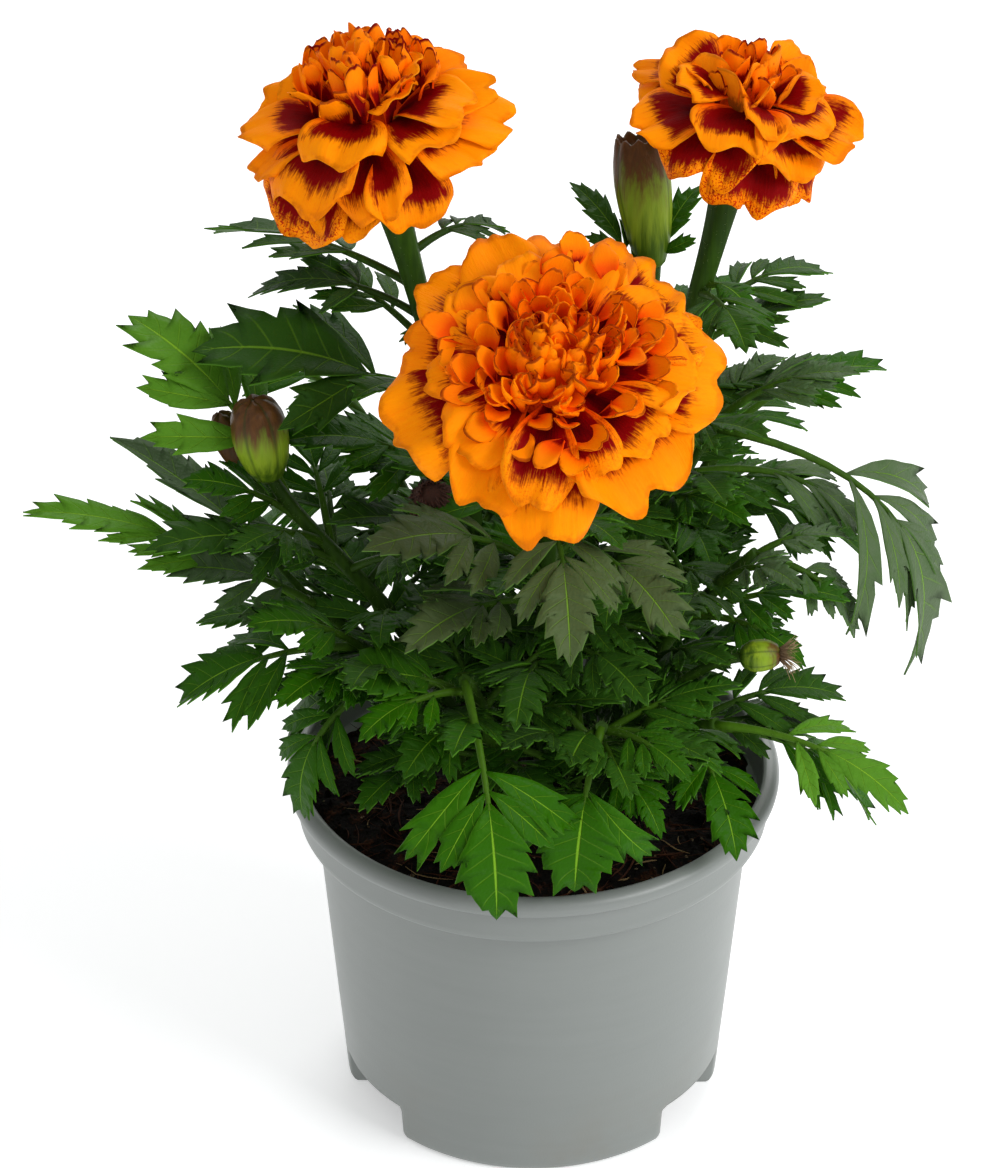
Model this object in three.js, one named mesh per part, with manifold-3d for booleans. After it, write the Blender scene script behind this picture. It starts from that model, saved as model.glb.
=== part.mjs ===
// A french marigold in a round nursery pot, in millimetres, +Z up.
// The origin is the centre of the pot's base, on the surface it stands on; -Y is the front.

import * as THREE from 'three';
import { mergeVertices } from 'three/addons/utils/BufferGeometryUtils.js';
import Module from 'manifold-3d';

const wasm = await Module();
wasm.setup();

// ---------------------------------------------------------------- driving dimensions

const POT = {
  height: 79.5,
  rimRadius: 52.5,
  lipRadius: 49.3,
  collarRadius: 50.3,
  collarFoot: 68,
  shoulderRadius: 46.4,
  baseRadius: 40.6,
  wall: 1.2,
  floor: 1.5,
  sides: 36,
};
const DRAIN = {
  angles: [-150, -30, 90],
  spread: 24,
  height: 8,
  inner: 29,
  wall: 1.2,
  holeRadius: 2.6,
  holeAt: 34,
};
const SOIL = { top: 69.5, relief: 0.9, gap: 0.3, sides: 24 };
const WELL = { clearance: 0.6 };
const STEM = { sides: 5, steps: 5, branchSteps: 3, start: 0.003 };
const BLADE = { thickness: 0.7, rib: 1.5, sink: 0.6 };

const PALETTE = {
  pot: [0x9aa09d, 0.42],
  soil: [0x15130c, 0.95],
  green: [0x365b22, 0.6],
  petal: [0xf08a0c, 0.7],
  spent: [0x4a3328, 0.85],
};

// A leafy stem: its paths are cubic curves with a radius at each end, the first one from the soil
// and the others branching off it. A leaf is
// [path, place along it 0..1, tip x, y, z, bow, turn in degrees, pairs of leaflets, breadth].
const STEMS = [
  {
    name: 'left_bloom_stem',
    paths: [[[-5, 5, 55], [-6, 6, 120], [-20, 7, 175], [-28.6, 9.2, 208.6], 2.0, 1.9]],
    leaves: [
      [0, 0.60, -68, -3, 187, 5, 20, 2, 1.15],
      [0, 0.84, -67, 38, 188, 4, -15, 2, 0.9],
      [0, 0.78, -59, 22, 181, 6, 10, 1, 0.6],
      [0, 0.90, -6, 26, 194, 4, 0, 2, 0.9],
      [0, 0.50, -52, -6, 165, 4, 10, 2, 0.9],
      [0, 0.42, -42, -14, 148, 3, 10, 2, 0.9],
    ],
    cups: [{ top: [-31, 12, 220], axis: [-0.2, 0.23, 0.95], length: 13, radius: 5.4 }],
  },
  {
    name: 'right_bloom_stem',
    paths: [[[6, 5, 55], [14, 8, 120], [33, 11, 180], [39, 13.6, 211.5], 2.0, 1.9]],
    leaves: [
      [0, 0.80, 44, 2, 190, 2, 0, 0, 1.3],
      [0, 0.72, 62, 30, 184, 5, 0, 2, 0.9],
      [0, 0.46, 44, -16, 150, 3, -10, 2, 0.9],
    ],
    cups: [{ top: [41, 16, 223], axis: [0.17, 0.2, 0.96], length: 13, radius: 5.0 }],
  },
  {
    name: 'front_bloom_stem',
    paths: [
      [[2, -8, 55], [2, -10, 110], [3, -9, 150], [3.8, -25, 180.9], 2.1, 2.0],
      [[2, -9, 106], [-6, -4, 124], [-17, 0, 136], [-19.5, -9.5, 148.5], 1.3, 1.2],
    ],
    leaves: [
      [0, 0.78, -37, -38, 161, 4, 25, 2, 1.0],
      [0, 0.72, 8, -56, 141, 7, 2, 2, 1.0],
      [0, 0.66, 30, -44, 140, 5, -10, 2, 0.95],
      [0, 0.50, -26, -44, 138, 4, 10, 2, 0.9],
      [0, 0.42, 24, -44, 124, 4, -10, 2, 0.9],
      [0, 0.38, -4, -50, 124, 4, 0, 2, 0.9],
    ],
    cups: [{ top: [3.8, -31, 191.3], axis: [0, -0.5, 0.866], length: 13, radius: 5.6 }],
  },
  {
    name: 'faded_bloom_stem',
    paths: [[[2.5, 10.5, 55], [6, 13, 120], [23, 24, 156], [24.5, 33, 182.5], 1.9, 1.8]],
    leaves: [
      [0, 0.85, 8, 40, 199, 4, 0, 2, 0.8],
      [0, 0.92, 34, 42, 197, 3, 0, 1, 0.8],
      [0, 0.74, 44, 52, 168, 5, 0, 2, 1.0],
    ],
    pods: [{ foot: [24.5, 33, 181.5], tip: [21, 39.5, 211], radius: 6.0, shape: 'faded', teeth: 6 }],
  },
  {
    name: 'left_bud_stem',
    paths: [
      [[-9.5, -2, 55], [-12.5, -2, 113], [-44, -6, 132], [-55, -6, 158], 2.0, 1.4],
      [[-44, -5.5, 138], [-52, 1, 147], [-61, 3, 147], [-65, 5, 155], 1.2, 1.1],
    ],
    leaves: [
      [0, 0.86, -85, 14, 178, 5, 10, 2, 1.1],
      [0, 0.80, -72, -10, 156, 3, 20, 2, 1.0],
      [0, 0.68, -79, -22, 148, 4, 15, 1, 0.7],
      [0, 0.72, -50, 26, 150, 4, 0, 2, 0.9],
    ],
    pods: [
      { foot: [-55, -6, 157], tip: [-60, -5, 177], radius: 5.4, shape: 'bud', teeth: 4 },
      { foot: [-65, 5, 154.5], tip: [-67, 6, 167], radius: 3.6, shape: 'bud', teeth: 0 },
    ],
  },
  {
    name: 'left_shoot',
    paths: [[[-12, 1, 55], [-16, 1, 95], [-34, 0, 110], [-48, -3, 122], 2.0, 1.3]],
    leaves: [
      [0, 0.99, -105, -5, 147, 4, 10, 3, 0.6],
      [0, 0.92, -88, 14, 152, 3, -10, 1, 0.8],
      [0, 0.85, -76, -12, 136, 4, 20, 2, 0.9],
      [0, 0.70, -62, 22, 118, 4, -10, 2, 1.0],
    ],
  },
  {
    name: 'left_low_shoot',
    paths: [[[-9, -7, 55], [-14, -10, 90], [-24, -16, 110], [-36, -20, 122], 2.0, 1.3]],
    leaves: [
      [0, 0.92, -58, -34, 137, 3, 15, 2, 1.0],
      [0, 0.99, -74, -27, 113, 4, 5, 2, 1.15],
      [0, 0.86, -52, -42, 122, 3, 10, 2, 0.9],
      [0, 0.80, -49, -28, 82, 8, 20, 2, 0.9],
      [0, 0.70, -53, -13, 94, 5, 10, 1, 1.1],
    ],
  },
  {
    name: 'front_left_shoot',
    paths: [[[-4, -12, 55], [-6, -18, 90], [-10, -26, 112], [-14, -36, 124], 2.0, 1.3]],
    leaves: [
      [0, 0.99, -7, -65, 82.5, 8, 0, 2, 1.15],
      [0, 0.79, -40, -38, 126, 3, 18, 1, 1.45],
      [0, 0.66, -27, -42, 104, 4, 10, 1, 1.4],
      [0, 0.88, -36, -50, 120, 3, 10, 2, 0.9],
      [0, 0.45, -37, -30, 96, 4, 10, 2, 0.8],
    ],
  },
  {
    name: 'front_right_shoot',
    paths: [[[5, -12, 55], [8, -18, 90], [12, -28, 106], [14, -38, 114], 2.0, 1.3]],
    leaves: [
      [0, 0.99, 9, -53, 82, 5, 0, 2, 1.25],
      [0, 0.90, 7, -47, 111, 2, 0, 0, 2.0],
      [0, 0.92, 32, -54, 112, 3, -10, 2, 0.9],
      [0, 0.85, 39, -41, 105, 4, -10, 2, 1.0],
      [0, 0.60, 27, -42, 89, 4, -15, 2, 0.9],
    ],
  },
  {
    name: 'right_low_shoot',
    paths: [
      [[11, -5, 55], [18, -8, 85], [28, -14, 98], [38, -22, 104], 2.0, 1.3],
      [[18.8, -8.9, 79.5], [23, -17, 106], [32, -22, 119], [43, -21, 120], 1.2, 1.0],
    ],
    leaves: [
      [0, 0.90, 73, -20, 80, 6, 0, 2, 0.95],
      [0, 0.99, 79, -33, 90, 5, -15, 2, 0.8],
      [0, 0.75, 66, -8, 103, 5, -10, 2, 0.9],
      [0, 0.80, 43, -44, 85, 4, 0, 1, 1.0],
    ],
    pods: [{ foot: [42.5, -21, 120], tip: [51, -20.5, 120.5], radius: 3.4, shape: 'bud', teeth: 0 }],
  },
  {
    name: 'right_shoot',
    paths: [[[11, 2, 55], [16, 0, 100], [30, -4, 118], [46, -6, 136], 2.0, 1.3]],
    leaves: [
      [0, 0.99, 68, -11, 118, 5, -10, 2, 1.0],
      [0, 0.70, 57, -14, 113, 4, -10, 2, 0.9],
      [0, 0.50, 40, -26, 122, 3, -10, 2, 0.9],
      [0, 0.85, 55, -22, 138, 4, -20, 2, 0.8],
      [0, 0.93, 66, 0, 136, 4, 0, 2, 0.8],
    ],
  },
  {
    name: 'right_high_shoot',
    paths: [[[10, 8, 55], [15, 12, 110], [28, 12, 140], [38, 8, 160], 2.0, 1.3]],
    leaves: [
      [0, 0.99, 67, 8, 171, 4, -10, 3, 0.95],
      [0, 0.96, 84, 4, 97, 18, -20, 3, 0.75],
      [0, 0.78, 72, 10, 124, 10, -15, 3, 0.7],
      [0, 0.90, 52, 24, 166, 4, 0, 2, 0.9],
    ],
  },
  {
    name: 'back_left_shoot',
    paths: [[[-5, 11, 55], [-10, 18, 100], [-28, 28, 128], [-36, 38, 142], 2.0, 1.3]],
    leaves: [
      [0, 0.99, -70, 50, 152, 5, 0, 2, 1.0],
      [0, 0.88, -48, 68, 134, 5, 0, 2, 1.0],
      [0, 0.74, -62, 36, 112, 5, 0, 2, 1.0],
      [0, 0.60, -34, 54, 98, 5, 0, 2, 1.0],
    ],
  },
  {
    name: 'back_shoot',
    paths: [[[-0.5, 15, 55], [2, 24, 100], [4, 40, 128], [2, 50, 142], 2.0, 1.3]],
    leaves: [
      [0, 0.99, -10, 86, 138, 7, 0, 2, 1.0],
      [0, 0.88, 24, 76, 132, 5, 0, 2, 1.0],
      [0, 0.78, 4, 74, 104, 6, 0, 2, 1.0],
      [0, 0.96, 4, 70, 166, 4, 0, 2, 0.9],
    ],
  },
  {
    name: 'back_right_shoot',
    paths: [[[6, 13, 55], [14, 20, 98], [32, 30, 124], [42, 38, 140], 2.0, 1.3]],
    leaves: [
      [0, 0.99, 76, 50, 148, 5, 0, 2, 1.0],
      [0, 0.88, 54, 68, 130, 5, 0, 2, 1.0],
      [0, 0.76, 72, 30, 112, 5, 0, 2, 1.0],
      [0, 0.60, 38, 56, 98, 5, 0, 2, 1.0],
    ],
  },
];

// A bloom stands in a cup, round a core of a given radius and height above the cup's rim. A ring
// of its petals is [count, radius of the tips, height of the tips, width, bend down, foot], where
// the foot is a part of the core's height.
const BLOOMS = [
  {
    name: 'left_bloom_petals',
    cup: 'left_bloom_stem',
    plug: 5.2,
    core: [10.5, 15],
    rings: [
      [9, 27, -13, 21, 7, 0.18],
      [8, 26, 2, 17, 5, 0.3],
      [8, 21.5, 12, 12, 3, 0.48],
      [7, 14, 20, 7, 0, 0.7],
      [5, 6, 24, 5, 0, 0.86],
    ],
  },
  {
    name: 'right_bloom_petals',
    cup: 'right_bloom_stem',
    plug: 4.8,
    core: [9, 11],
    rings: [
      [8, 25, -10, 19, 5, 0.2],
      [7, 23, 3, 15, 4, 0.34],
      [7, 16, 11.5, 9, 1, 0.6],
      [5, 8, 16.5, 5.5, 0, 0.84],
    ],
  },
  {
    name: 'front_bloom_petals',
    cup: 'front_bloom_stem',
    plug: 5.4,
    core: [12, 12],
    rings: [
      [9, 34, 0, 23, 3, 0.18],
      [9, 27, 8, 15, 2, 0.32],
      [9, 20.5, 13, 9, 1, 0.52],
      [8, 13.5, 16, 6.5, 0, 0.72],
      [6, 6.5, 17.5, 5, 0, 0.88],
    ],
  },
];

// The withered head on the front bloom's side branch, and the dry florets on the right bud: each
// sits a gap above the flat end of what carries it.
const SEAT_GAP = 0.3;
const SPENT = { stem: 'front_bloom_stem', branch: 1, sides: 9 };
const TUFT = { stem: 'right_low_shoot', pod: 0, length: 6.5, hairs: 3, lean: 0.35 };

// ---------------------------------------------------------------- small helpers

const UP = new THREE.Vector3(0, 0, 1);
const v3 = (list) => new THREE.Vector3(list[0], list[1], list[2]);
const radians = (degrees) => (degrees * Math.PI) / 180;

// A repeatable number from 0 to 1 for each whole number n.
function chance(n) {
  const wave = Math.sin(n * 12.9898) * 43758.5453;
  return wave - Math.floor(wave);
}

function solidOf(geometry) {
  const bare = geometry.clone();
  bare.deleteAttribute('normal');
  bare.deleteAttribute('uv');
  const merged = mergeVertices(bare, 1e-4);
  return new wasm.Manifold(new wasm.Mesh({
    numProp: 3,
    vertProperties: new Float32Array(merged.attributes.position.array),
    triVerts: new Uint32Array(merged.index.array),
  }));
}

function geometryOf(solid) {
  const mesh = solid.getMesh();
  const geometry = new THREE.BufferGeometry();
  geometry.setAttribute('position', new THREE.BufferAttribute(mesh.vertProperties, 3));
  geometry.setIndex(new THREE.BufferAttribute(mesh.triVerts, 1));
  geometry.computeVertexNormals();
  return geometry;
}

function geometryFrom(points, triangles) {
  const geometry = new THREE.BufferGeometry();
  const flat = points.flatMap((point) => [point.x, point.y, point.z]);
  geometry.setAttribute('position', new THREE.Float32BufferAttribute(flat, 3));
  geometry.setIndex(triangles.flat());
  return geometry;
}

function fused(solids) {
  return solids.reduce((whole, piece) => whole.add(piece));
}

// The largest body of a solid, without the loose scraps that a cut may leave.
function mainBody(solid) {
  const bodies = solid.decompose();
  return bodies.reduce((best, body) => (body.volume() > best.volume() ? body : best));
}

// A lathe profile of [radius, height] pairs from axis to axis, turned about +Z.
function turned(profile, sides) {
  const points = profile.map(([radius, height]) => new THREE.Vector2(radius, height));
  return new THREE.LatheGeometry(points, sides).rotateX(Math.PI / 2);
}

// The same profile standing on a point and turned to an axis.
function turnedAlong(profile, sides, foot, axis) {
  const turn = new THREE.Quaternion().setFromUnitVectors(UP, axis.clone().normalize());
  return turned(profile, sides).applyQuaternion(turn).translate(foot.x, foot.y, foot.z);
}

// A thin blade: flat points and their triangles, bent by place(x, y), with the same triangles on
// both faces and walls along the edge.
function blade(flat, triangles, place) {
  const middle = flat.map(([x, y]) => place(x, y));
  const facing = flat.map(() => new THREE.Vector3());
  const oriented = triangles.map(([a, b, c]) => {
    const area = (flat[b][0] - flat[a][0]) * (flat[c][1] - flat[a][1])
      - (flat[c][0] - flat[a][0]) * (flat[b][1] - flat[a][1]);
    return area > 0 ? [a, b, c] : [a, c, b];
  });
  for (const [a, b, c] of oriented) {
    const along = middle[b].clone().sub(middle[a]);
    const normal = along.cross(middle[c].clone().sub(middle[a]));
    [a, b, c].forEach((corner) => facing[corner].add(normal));
  }
  const half = BLADE.thickness / 2;
  const upper = middle.map((point, i) => point.clone().addScaledVector(facing[i].normalize(), half));
  const lower = middle.map((point, i) => point.clone().addScaledVector(facing[i], -half));
  const count = flat.length;
  const faces = [];
  const edges = new Map();
  for (const [a, b, c] of oriented) {
    faces.push([a, b, c], [c + count, b + count, a + count]);
    [[a, b], [b, c], [c, a]].forEach(([from, to]) => edges.set(`${from}_${to}`, [from, to]));
  }
  for (const [from, to] of edges.values()) {
    if (!edges.has(`${to}_${from}`)) {
      faces.push([from + count, to + count, to], [from + count, to, from]);
    }
  }
  return geometryFrom([...upper, ...lower], faces);
}

// ---------------------------------------------------------------- pot and soil

const INNER_SHOULDER = POT.shoulderRadius - POT.wall;
const INNER_BASE = POT.baseRadius - POT.wall;

// The pot's outer form, filled: rounded foot, tapered wall, shoulder, collar and rolled rim.
function potOutline() {
  const { height, rimRadius, lipRadius, collarRadius, collarFoot } = POT;
  return [
    [0, 0], [POT.baseRadius - 1.0, 0], [POT.baseRadius, 1.8],
    [POT.shoulderRadius, collarFoot - 1.2], [collarRadius - 1.0, collarFoot],
    [collarRadius, height - 4.0], [rimRadius - 0.3, height - 3.6], [rimRadius, height - 2.4],
    [rimRadius - 1.4, height - 0.3], [lipRadius, height], [0, height],
  ];
}

// The room inside the pot, drawn in by a gap for what fills it, up to a top height.
function potInside(gap, top) {
  const collarInner = POT.collarFoot + 1.4;
  return [
    [0, POT.floor + gap], [INNER_BASE - gap, POT.floor + gap],
    [INNER_SHOULDER - gap, POT.collarFoot - 0.6], [48.0 - gap, collarInner],
    [48.4 - gap, top], [0, top],
  ];
}

// A block over an arc of the pot's foot, for a drain recess or its housing.
function footBlock(angle, spread, inner, outer, bottom, top) {
  const shape = new THREE.Shape();
  const from = radians(angle - spread / 2);
  const to = radians(angle + spread / 2);
  shape.absarc(0, 0, outer, from, to, false);
  shape.absarc(0, 0, inner, to, from, true);
  const block = new THREE.ExtrudeGeometry(shape, {
    depth: top - bottom, bevelEnabled: false, curveSegments: 3,
  });
  return solidOf(block.translate(0, 0, bottom));
}

function drainHousings(grow) {
  const widened = DRAIN.spread + (360 * (DRAIN.wall + grow)) / (2 * Math.PI * 38);
  const inner = DRAIN.inner - DRAIN.wall - grow;
  const top = DRAIN.height + DRAIN.wall + grow;
  return DRAIN.angles.map((angle) => footBlock(angle, widened, inner, 46, -1, top));
}

function potSolid() {
  const room = solidOf(turned(potInside(0, POT.height + 4), POT.sides));
  const bore = solidOf(turned([[0, 70], [48.9, 70], [49.0, 90], [0, 90]], POT.sides));
  const housings = fused(drainHousings(0));
  let pot = solidOf(turned(potOutline(), POT.sides)).subtract(room.subtract(housings)).subtract(bore);
  for (const angle of DRAIN.angles) {
    pot = pot.subtract(footBlock(angle, DRAIN.spread, DRAIN.inner, 48, -1, DRAIN.height));
    const hole = new THREE.CylinderGeometry(DRAIN.holeRadius, DRAIN.holeRadius, 12, 10);
    const x = DRAIN.holeAt * Math.cos(radians(angle));
    const y = DRAIN.holeAt * Math.sin(radians(angle));
    pot = pot.subtract(solidOf(hole.rotateX(Math.PI / 2).translate(x, y, 6)));
  }
  return pot;
}

// Loose soil: crumbly rings of points over a filled pot, with a plain hole for each stem.
function soilSolid() {
  const profile = potInside(SOIL.gap, SOIL.top);
  const skin = [[40, SOIL.top], [28, SOIL.top], [14, SOIL.top]];
  profile.splice(5, 0, ...skin);
  const geometry = mergeVertices(strippedLathe(profile, SOIL.sides), 1e-4);
  const position = geometry.attributes.position;
  for (let i = 0; i < position.count; i += 1) {
    if (position.getZ(i) > SOIL.top - 0.01) {
      position.setZ(i, SOIL.top + SOIL.relief * (chance(i + 3) * 2 - 1));
    }
  }
  let soil = solidOf(geometry);
  soil = soil.subtract(fused(drainHousings(SOIL.gap)));
  STEMS.forEach((stem) => {
    soil = soil.subtract(wellSolid(stem.paths[0]));
  });
  return mainBody(soil);
}

function strippedLathe(profile, sides) {
  const geometry = turned(profile, sides);
  geometry.deleteAttribute('normal');
  geometry.deleteAttribute('uv');
  return geometry;
}

// ---------------------------------------------------------------- stems, cups and buds

// A tube along a curve from place 'from' to 'to', its radius given by a function of the place.
function tube(curve, radiusAt, sides, steps, from = 0, to = 1) {
  const points = [];
  const faces = [];
  const start = curve.getTangent(from);
  let side = new THREE.Vector3(1, 0, 0);
  side.addScaledVector(start, -side.dot(start)).normalize();
  for (let i = 0; i <= steps; i += 1) {
    const t = from + ((to - from) * i) / steps;
    const centre = curve.getPoint(t);
    const tangent = curve.getTangent(t);
    side.addScaledVector(tangent, -side.dot(tangent)).normalize();
    const across = tangent.clone().cross(side);
    for (let j = 0; j < sides; j += 1) {
      const turn = (2 * Math.PI * j) / sides;
      const radius = radiusAt(t);
      points.push(centre.clone()
        .addScaledVector(side, radius * Math.cos(turn))
        .addScaledVector(across, radius * Math.sin(turn)));
    }
  }
  for (let i = 0; i < steps; i += 1) {
    for (let j = 0; j < sides; j += 1) {
      const a = i * sides + j;
      const b = i * sides + ((j + 1) % sides);
      faces.push([a, b, b + sides], [a, b + sides, a + sides]);
    }
  }
  for (let j = 1; j < sides - 1; j += 1) {
    const end = steps * sides;
    faces.push([0, j + 1, j], [end, end + j, end + j + 1]);
  }
  return geometryFrom(points, faces);
}

// The plain hole that a stem stands in: it follows the stem's first straight stretch, a little
// wider and deeper.
function wellSolid([a, b, c, d, foot]) {
  const curve = new THREE.CubicBezierCurve3(v3(a), v3(b), v3(c), v3(d));
  const line = new THREE.LineCurve3(curve.getPoint(0), curve.getPoint(1 / STEM.steps));
  return solidOf(tube(line, () => foot + WELL.clearance, STEM.sides, 1));
}

// The green cup below a bloom: a ribbed vase with a hollow that the petals' plug stands in.
function cupSolid({ top, axis, length, radius }) {
  const profile = [
    [0, 0], [2.6, 0], [radius * 0.84, length * 0.42], [radius, length],
    [radius - 0.9, length], [radius * 0.62, length - 5], [0, length - 5],
  ];
  const along = v3(axis).normalize();
  const foot = v3(top).addScaledVector(along, -length);
  return solidOf(turnedAlong(profile, 8, foot, along));
}

// A bud: an oval of fused bracts, with short teeth at its tip where they are large enough to see.
const POD_FORMS = {
  bud: [[0, 0], [0.3, 0], [0.74, 0.16], [1.0, 0.45], [0.62, 0.84], [0.34, 0.96], [0, 0.96]],
  faded: [[0, 0], [0.3, 0], [0.86, 0.4], [1.0, 0.74], [0.94, 0.92], [0, 0.88]],
};

function podSolid({ foot, tip, radius, shape, teeth }) {
  const along = v3(tip).sub(v3(foot));
  const length = along.length();
  const profile = POD_FORMS[shape].map(([r, z]) => [r * radius, z * length]);
  const solids = [solidOf(turnedAlong(profile, 7, v3(foot), along))];
  const lean = new THREE.Quaternion().setFromUnitVectors(UP, along.clone().normalize());
  const ring = shape === 'faded' ? 0.8 : 0.5;
  for (let i = 0; i < teeth; i += 1) {
    const turn = (2 * Math.PI * i) / teeth;
    const tooth = new THREE.ConeGeometry(radius * 0.3, length * 0.2, 3);
    const [x, y] = [radius * ring * Math.cos(turn), radius * ring * Math.sin(turn)];
    tooth.rotateX(Math.PI / 2).translate(x, y, length * 0.94).applyQuaternion(lean);
    solids.push(solidOf(tooth.translate(...foot)));
  }
  return fused(solids);
}

// ---------------------------------------------------------------- leaves

// The bend of a leaf: a midrib arched by 'bow' over the straight line from base to tip, and a
// blade that falls away on both sides of it by the square of the distance.
function leafForm(base, tip, bow, turn) {
  const straight = tip.clone().sub(base);
  const length = straight.length();
  const heading = straight.clone().normalize();
  const rise = UP.clone().addScaledVector(heading, -heading.z).normalize();
  const across = heading.clone().cross(rise);
  const bend = base.clone().add(tip).multiplyScalar(0.5).addScaledVector(rise, 2 * bow);
  const midrib = new THREE.QuadraticBezierCurve3(base, bend, tip);
  const fall = 0.6;
  const place = (x, y) => {
    const s = THREE.MathUtils.clamp(x / length, 0, 1);
    const tangent = midrib.getTangent(s);
    const normal = across.clone().cross(tangent);
    const side = across.clone().multiplyScalar(Math.cos(turn)).addScaledVector(normal, Math.sin(turn));
    const lift = normal.clone().multiplyScalar(Math.cos(turn)).addScaledVector(across, -Math.sin(turn));
    return midrib.getPoint(s)
      .addScaledVector(side, y)
      .addScaledVector(lift, (-fall * y * y) / length);
  };
  return { length, place };
}

// A leaf cut to its rib: a narrow rib with toothed leaflets in pairs and one at the end.
function leafSolid(base, tip, bow, turn, pairs, breadth) {
  const { length, place } = leafForm(base, tip, bow, turn);
  const flat = [];
  const triangles = [];
  const half = BLADE.rib / 2;
  const seat = 1.9;
  const starts = [];
  for (let k = 0; k < pairs; k += 1) {
    starts.push(length * (0.34 + (0.24 * k) / Math.max(1, pairs)));
  }
  const end = pairs > 0 ? starts.at(-1) + seat : length * 0.3;
  const stations = [BLADE.sink];
  starts.forEach((start) => stations.push(start, start + seat));
  if (pairs === 0 || end - stations.at(-1) > 0.5) stations.push(end);
  stations.forEach((x) => flat.push([x, -half], [x, half]));
  for (let i = 0; i < stations.length - 1; i += 1) {
    const a = 2 * i;
    triangles.push([a, a + 2, a + 3], [a, a + 3, a + 1]);
  }
  const leaflet = (near, far, from, angle, long, wide, nearTeeth, farTeeth) => {
    const outline = [near];
    const point = (along, aside) => {
      const x = from[0] + long * along * Math.cos(angle) - wide * aside * Math.sin(angle);
      const y = from[1] + long * along * Math.sin(angle) + wide * aside * Math.cos(angle);
      flat.push([x, y]);
      outline.push(flat.length - 1);
    };
    nearTeeth.forEach(([along, aside]) => point(along, -aside));
    point(1, 0);
    [...farTeeth].reverse().forEach(([along, aside]) => point(along, aside));
    outline.push(far);
    const contour = outline.map((index) => new THREE.Vector2(flat[index][0], flat[index][1]));
    THREE.ShapeUtils.triangulateShape(contour, []).forEach((triangle) => {
      triangles.push(triangle.map((corner) => outline[corner]));
    });
  };
  const rearTeeth = [[0.6, 1]];
  const foreTeeth = [[0.56, 1], [0.68, 0.56]];
  const endTeeth = breadth < 1 ? [[0.45, 1], [0.6, 0.6]] : [[0.38, 0.95], [0.48, 0.62], [0.72, 0.72]];
  starts.forEach((start, k) => {
    const near = 2 + 4 * k;
    const long = length * breadth * (0.40 - 0.05 * k);
    const wide = Math.max(1.6, long * 0.2);
    const angle = radians(56 - 9 * k);
    const x = start + seat / 2;
    const fore = k > 0 || breadth < 1 ? rearTeeth : foreTeeth;
    leaflet(near + 3, near + 1, [x, half], angle, long, wide, fore, rearTeeth);
    leaflet(near, near + 2, [x, -half], -angle, long, wide, rearTeeth, fore);
  });
  const last = 2 * (stations.length - 1);
  const wide = Math.max(2.2, (length - end) * 0.3 * breadth);
  leaflet(last, last + 1, [end, 0], 0, length - end, wide, endTeeth, endTeeth);
  return solidOf(blade(flat, triangles, place));
}

function stemSolid(stem) {
  const curves = stem.paths.map(([a, b, c, d]) => new THREE.CubicBezierCurve3(v3(a), v3(b), v3(c), v3(d)));
  const swell = stem.cups ? 1.6 : 0;
  const radiusAt = (path) => (t) => {
    const [, , , , foot, tip] = stem.paths[path];
    return foot + (tip - foot) * t + (path === 0 ? swell * t ** 7 : 0);
  };
  const solids = curves.map((curve, i) => {
    const steps = i ? STEM.branchSteps : STEM.steps;
    return solidOf(tube(curve, radiusAt(i), STEM.sides, steps, STEM.start, 1));
  });
  for (const [path, at, x, y, z, bow, turn, pairs, breadth] of stem.leaves) {
    const base = curves[path].getPoint(at);
    solids.push(leafSolid(base, new THREE.Vector3(x, y, z), bow, radians(turn), pairs, breadth));
  }
  (stem.cups ?? []).forEach((cup) => solids.push(cupSolid(cup)));
  (stem.pods ?? []).forEach((pod) => solids.push(podSolid(pod)));
  return mainBody(fused(solids));
}

// ---------------------------------------------------------------- petals

// A petal: a narrow foot in the core that widens to a notched, drooping edge.
function petalSolid({ foot, outward, axis, length, width, bend, kind, wave, roll }) {
  const flatAcross = axis.clone().cross(outward).normalize();
  const flatLift = outward.clone().cross(flatAcross).normalize();
  const across = flatAcross.clone().multiplyScalar(Math.cos(roll))
    .addScaledVector(flatLift, Math.sin(roll));
  const lift = outward.clone().cross(across).normalize();
  const w = width / 2;
  const place = (x, y) => {
    const t = x / length;
    const drop = -bend * t * t + wave * Math.cos((5 * y) / w) * t * t - (0.2 * y * y * t) / w;
    return foot.clone()
      .addScaledVector(outward, x)
      .addScaledVector(across, y)
      .addScaledVector(lift, drop);
  };
  const root = Math.min(1.4, w * 0.4);
  const feet = [[0, -root], [0, root]];
  const broad = [
    [0.45, -0.66], [0.45, 0.66], [0.78, -1], [0.72, 0], [0.78, 1],
    [0.98, -0.5], [0.92, 0], [0.98, 0.5],
  ];
  const broadFaces = [
    [0, 2, 3], [0, 3, 1], [2, 4, 5], [2, 5, 3], [3, 5, 6],
    [4, 7, 5], [7, 8, 5], [8, 9, 5], [9, 6, 5],
  ];
  const tongue = [[0.64, -1], [0.64, 1], [1, -0.6], [0.9, 0], [1, 0.6]];
  const tongueFaces = [[0, 2, 3], [0, 3, 1], [2, 4, 5], [2, 5, 3], [5, 6, 3]];
  const floret = [[1, -1], [0.88, 0], [1, 1]];
  const floretFaces = [[0, 2, 3], [0, 3, 1], [3, 4, 1]];
  const [grid, faces] = {
    broad: [broad, broadFaces], tongue: [tongue, tongueFaces], floret: [floret, floretFaces],
  }[kind];
  const flat = [...feet, ...grid.map(([along, aside]) => [along * length, aside * w])];
  return solidOf(blade(flat, faces, place));
}

function stemNamed(name) {
  return STEMS.find((stem) => stem.name === name);
}

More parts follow.
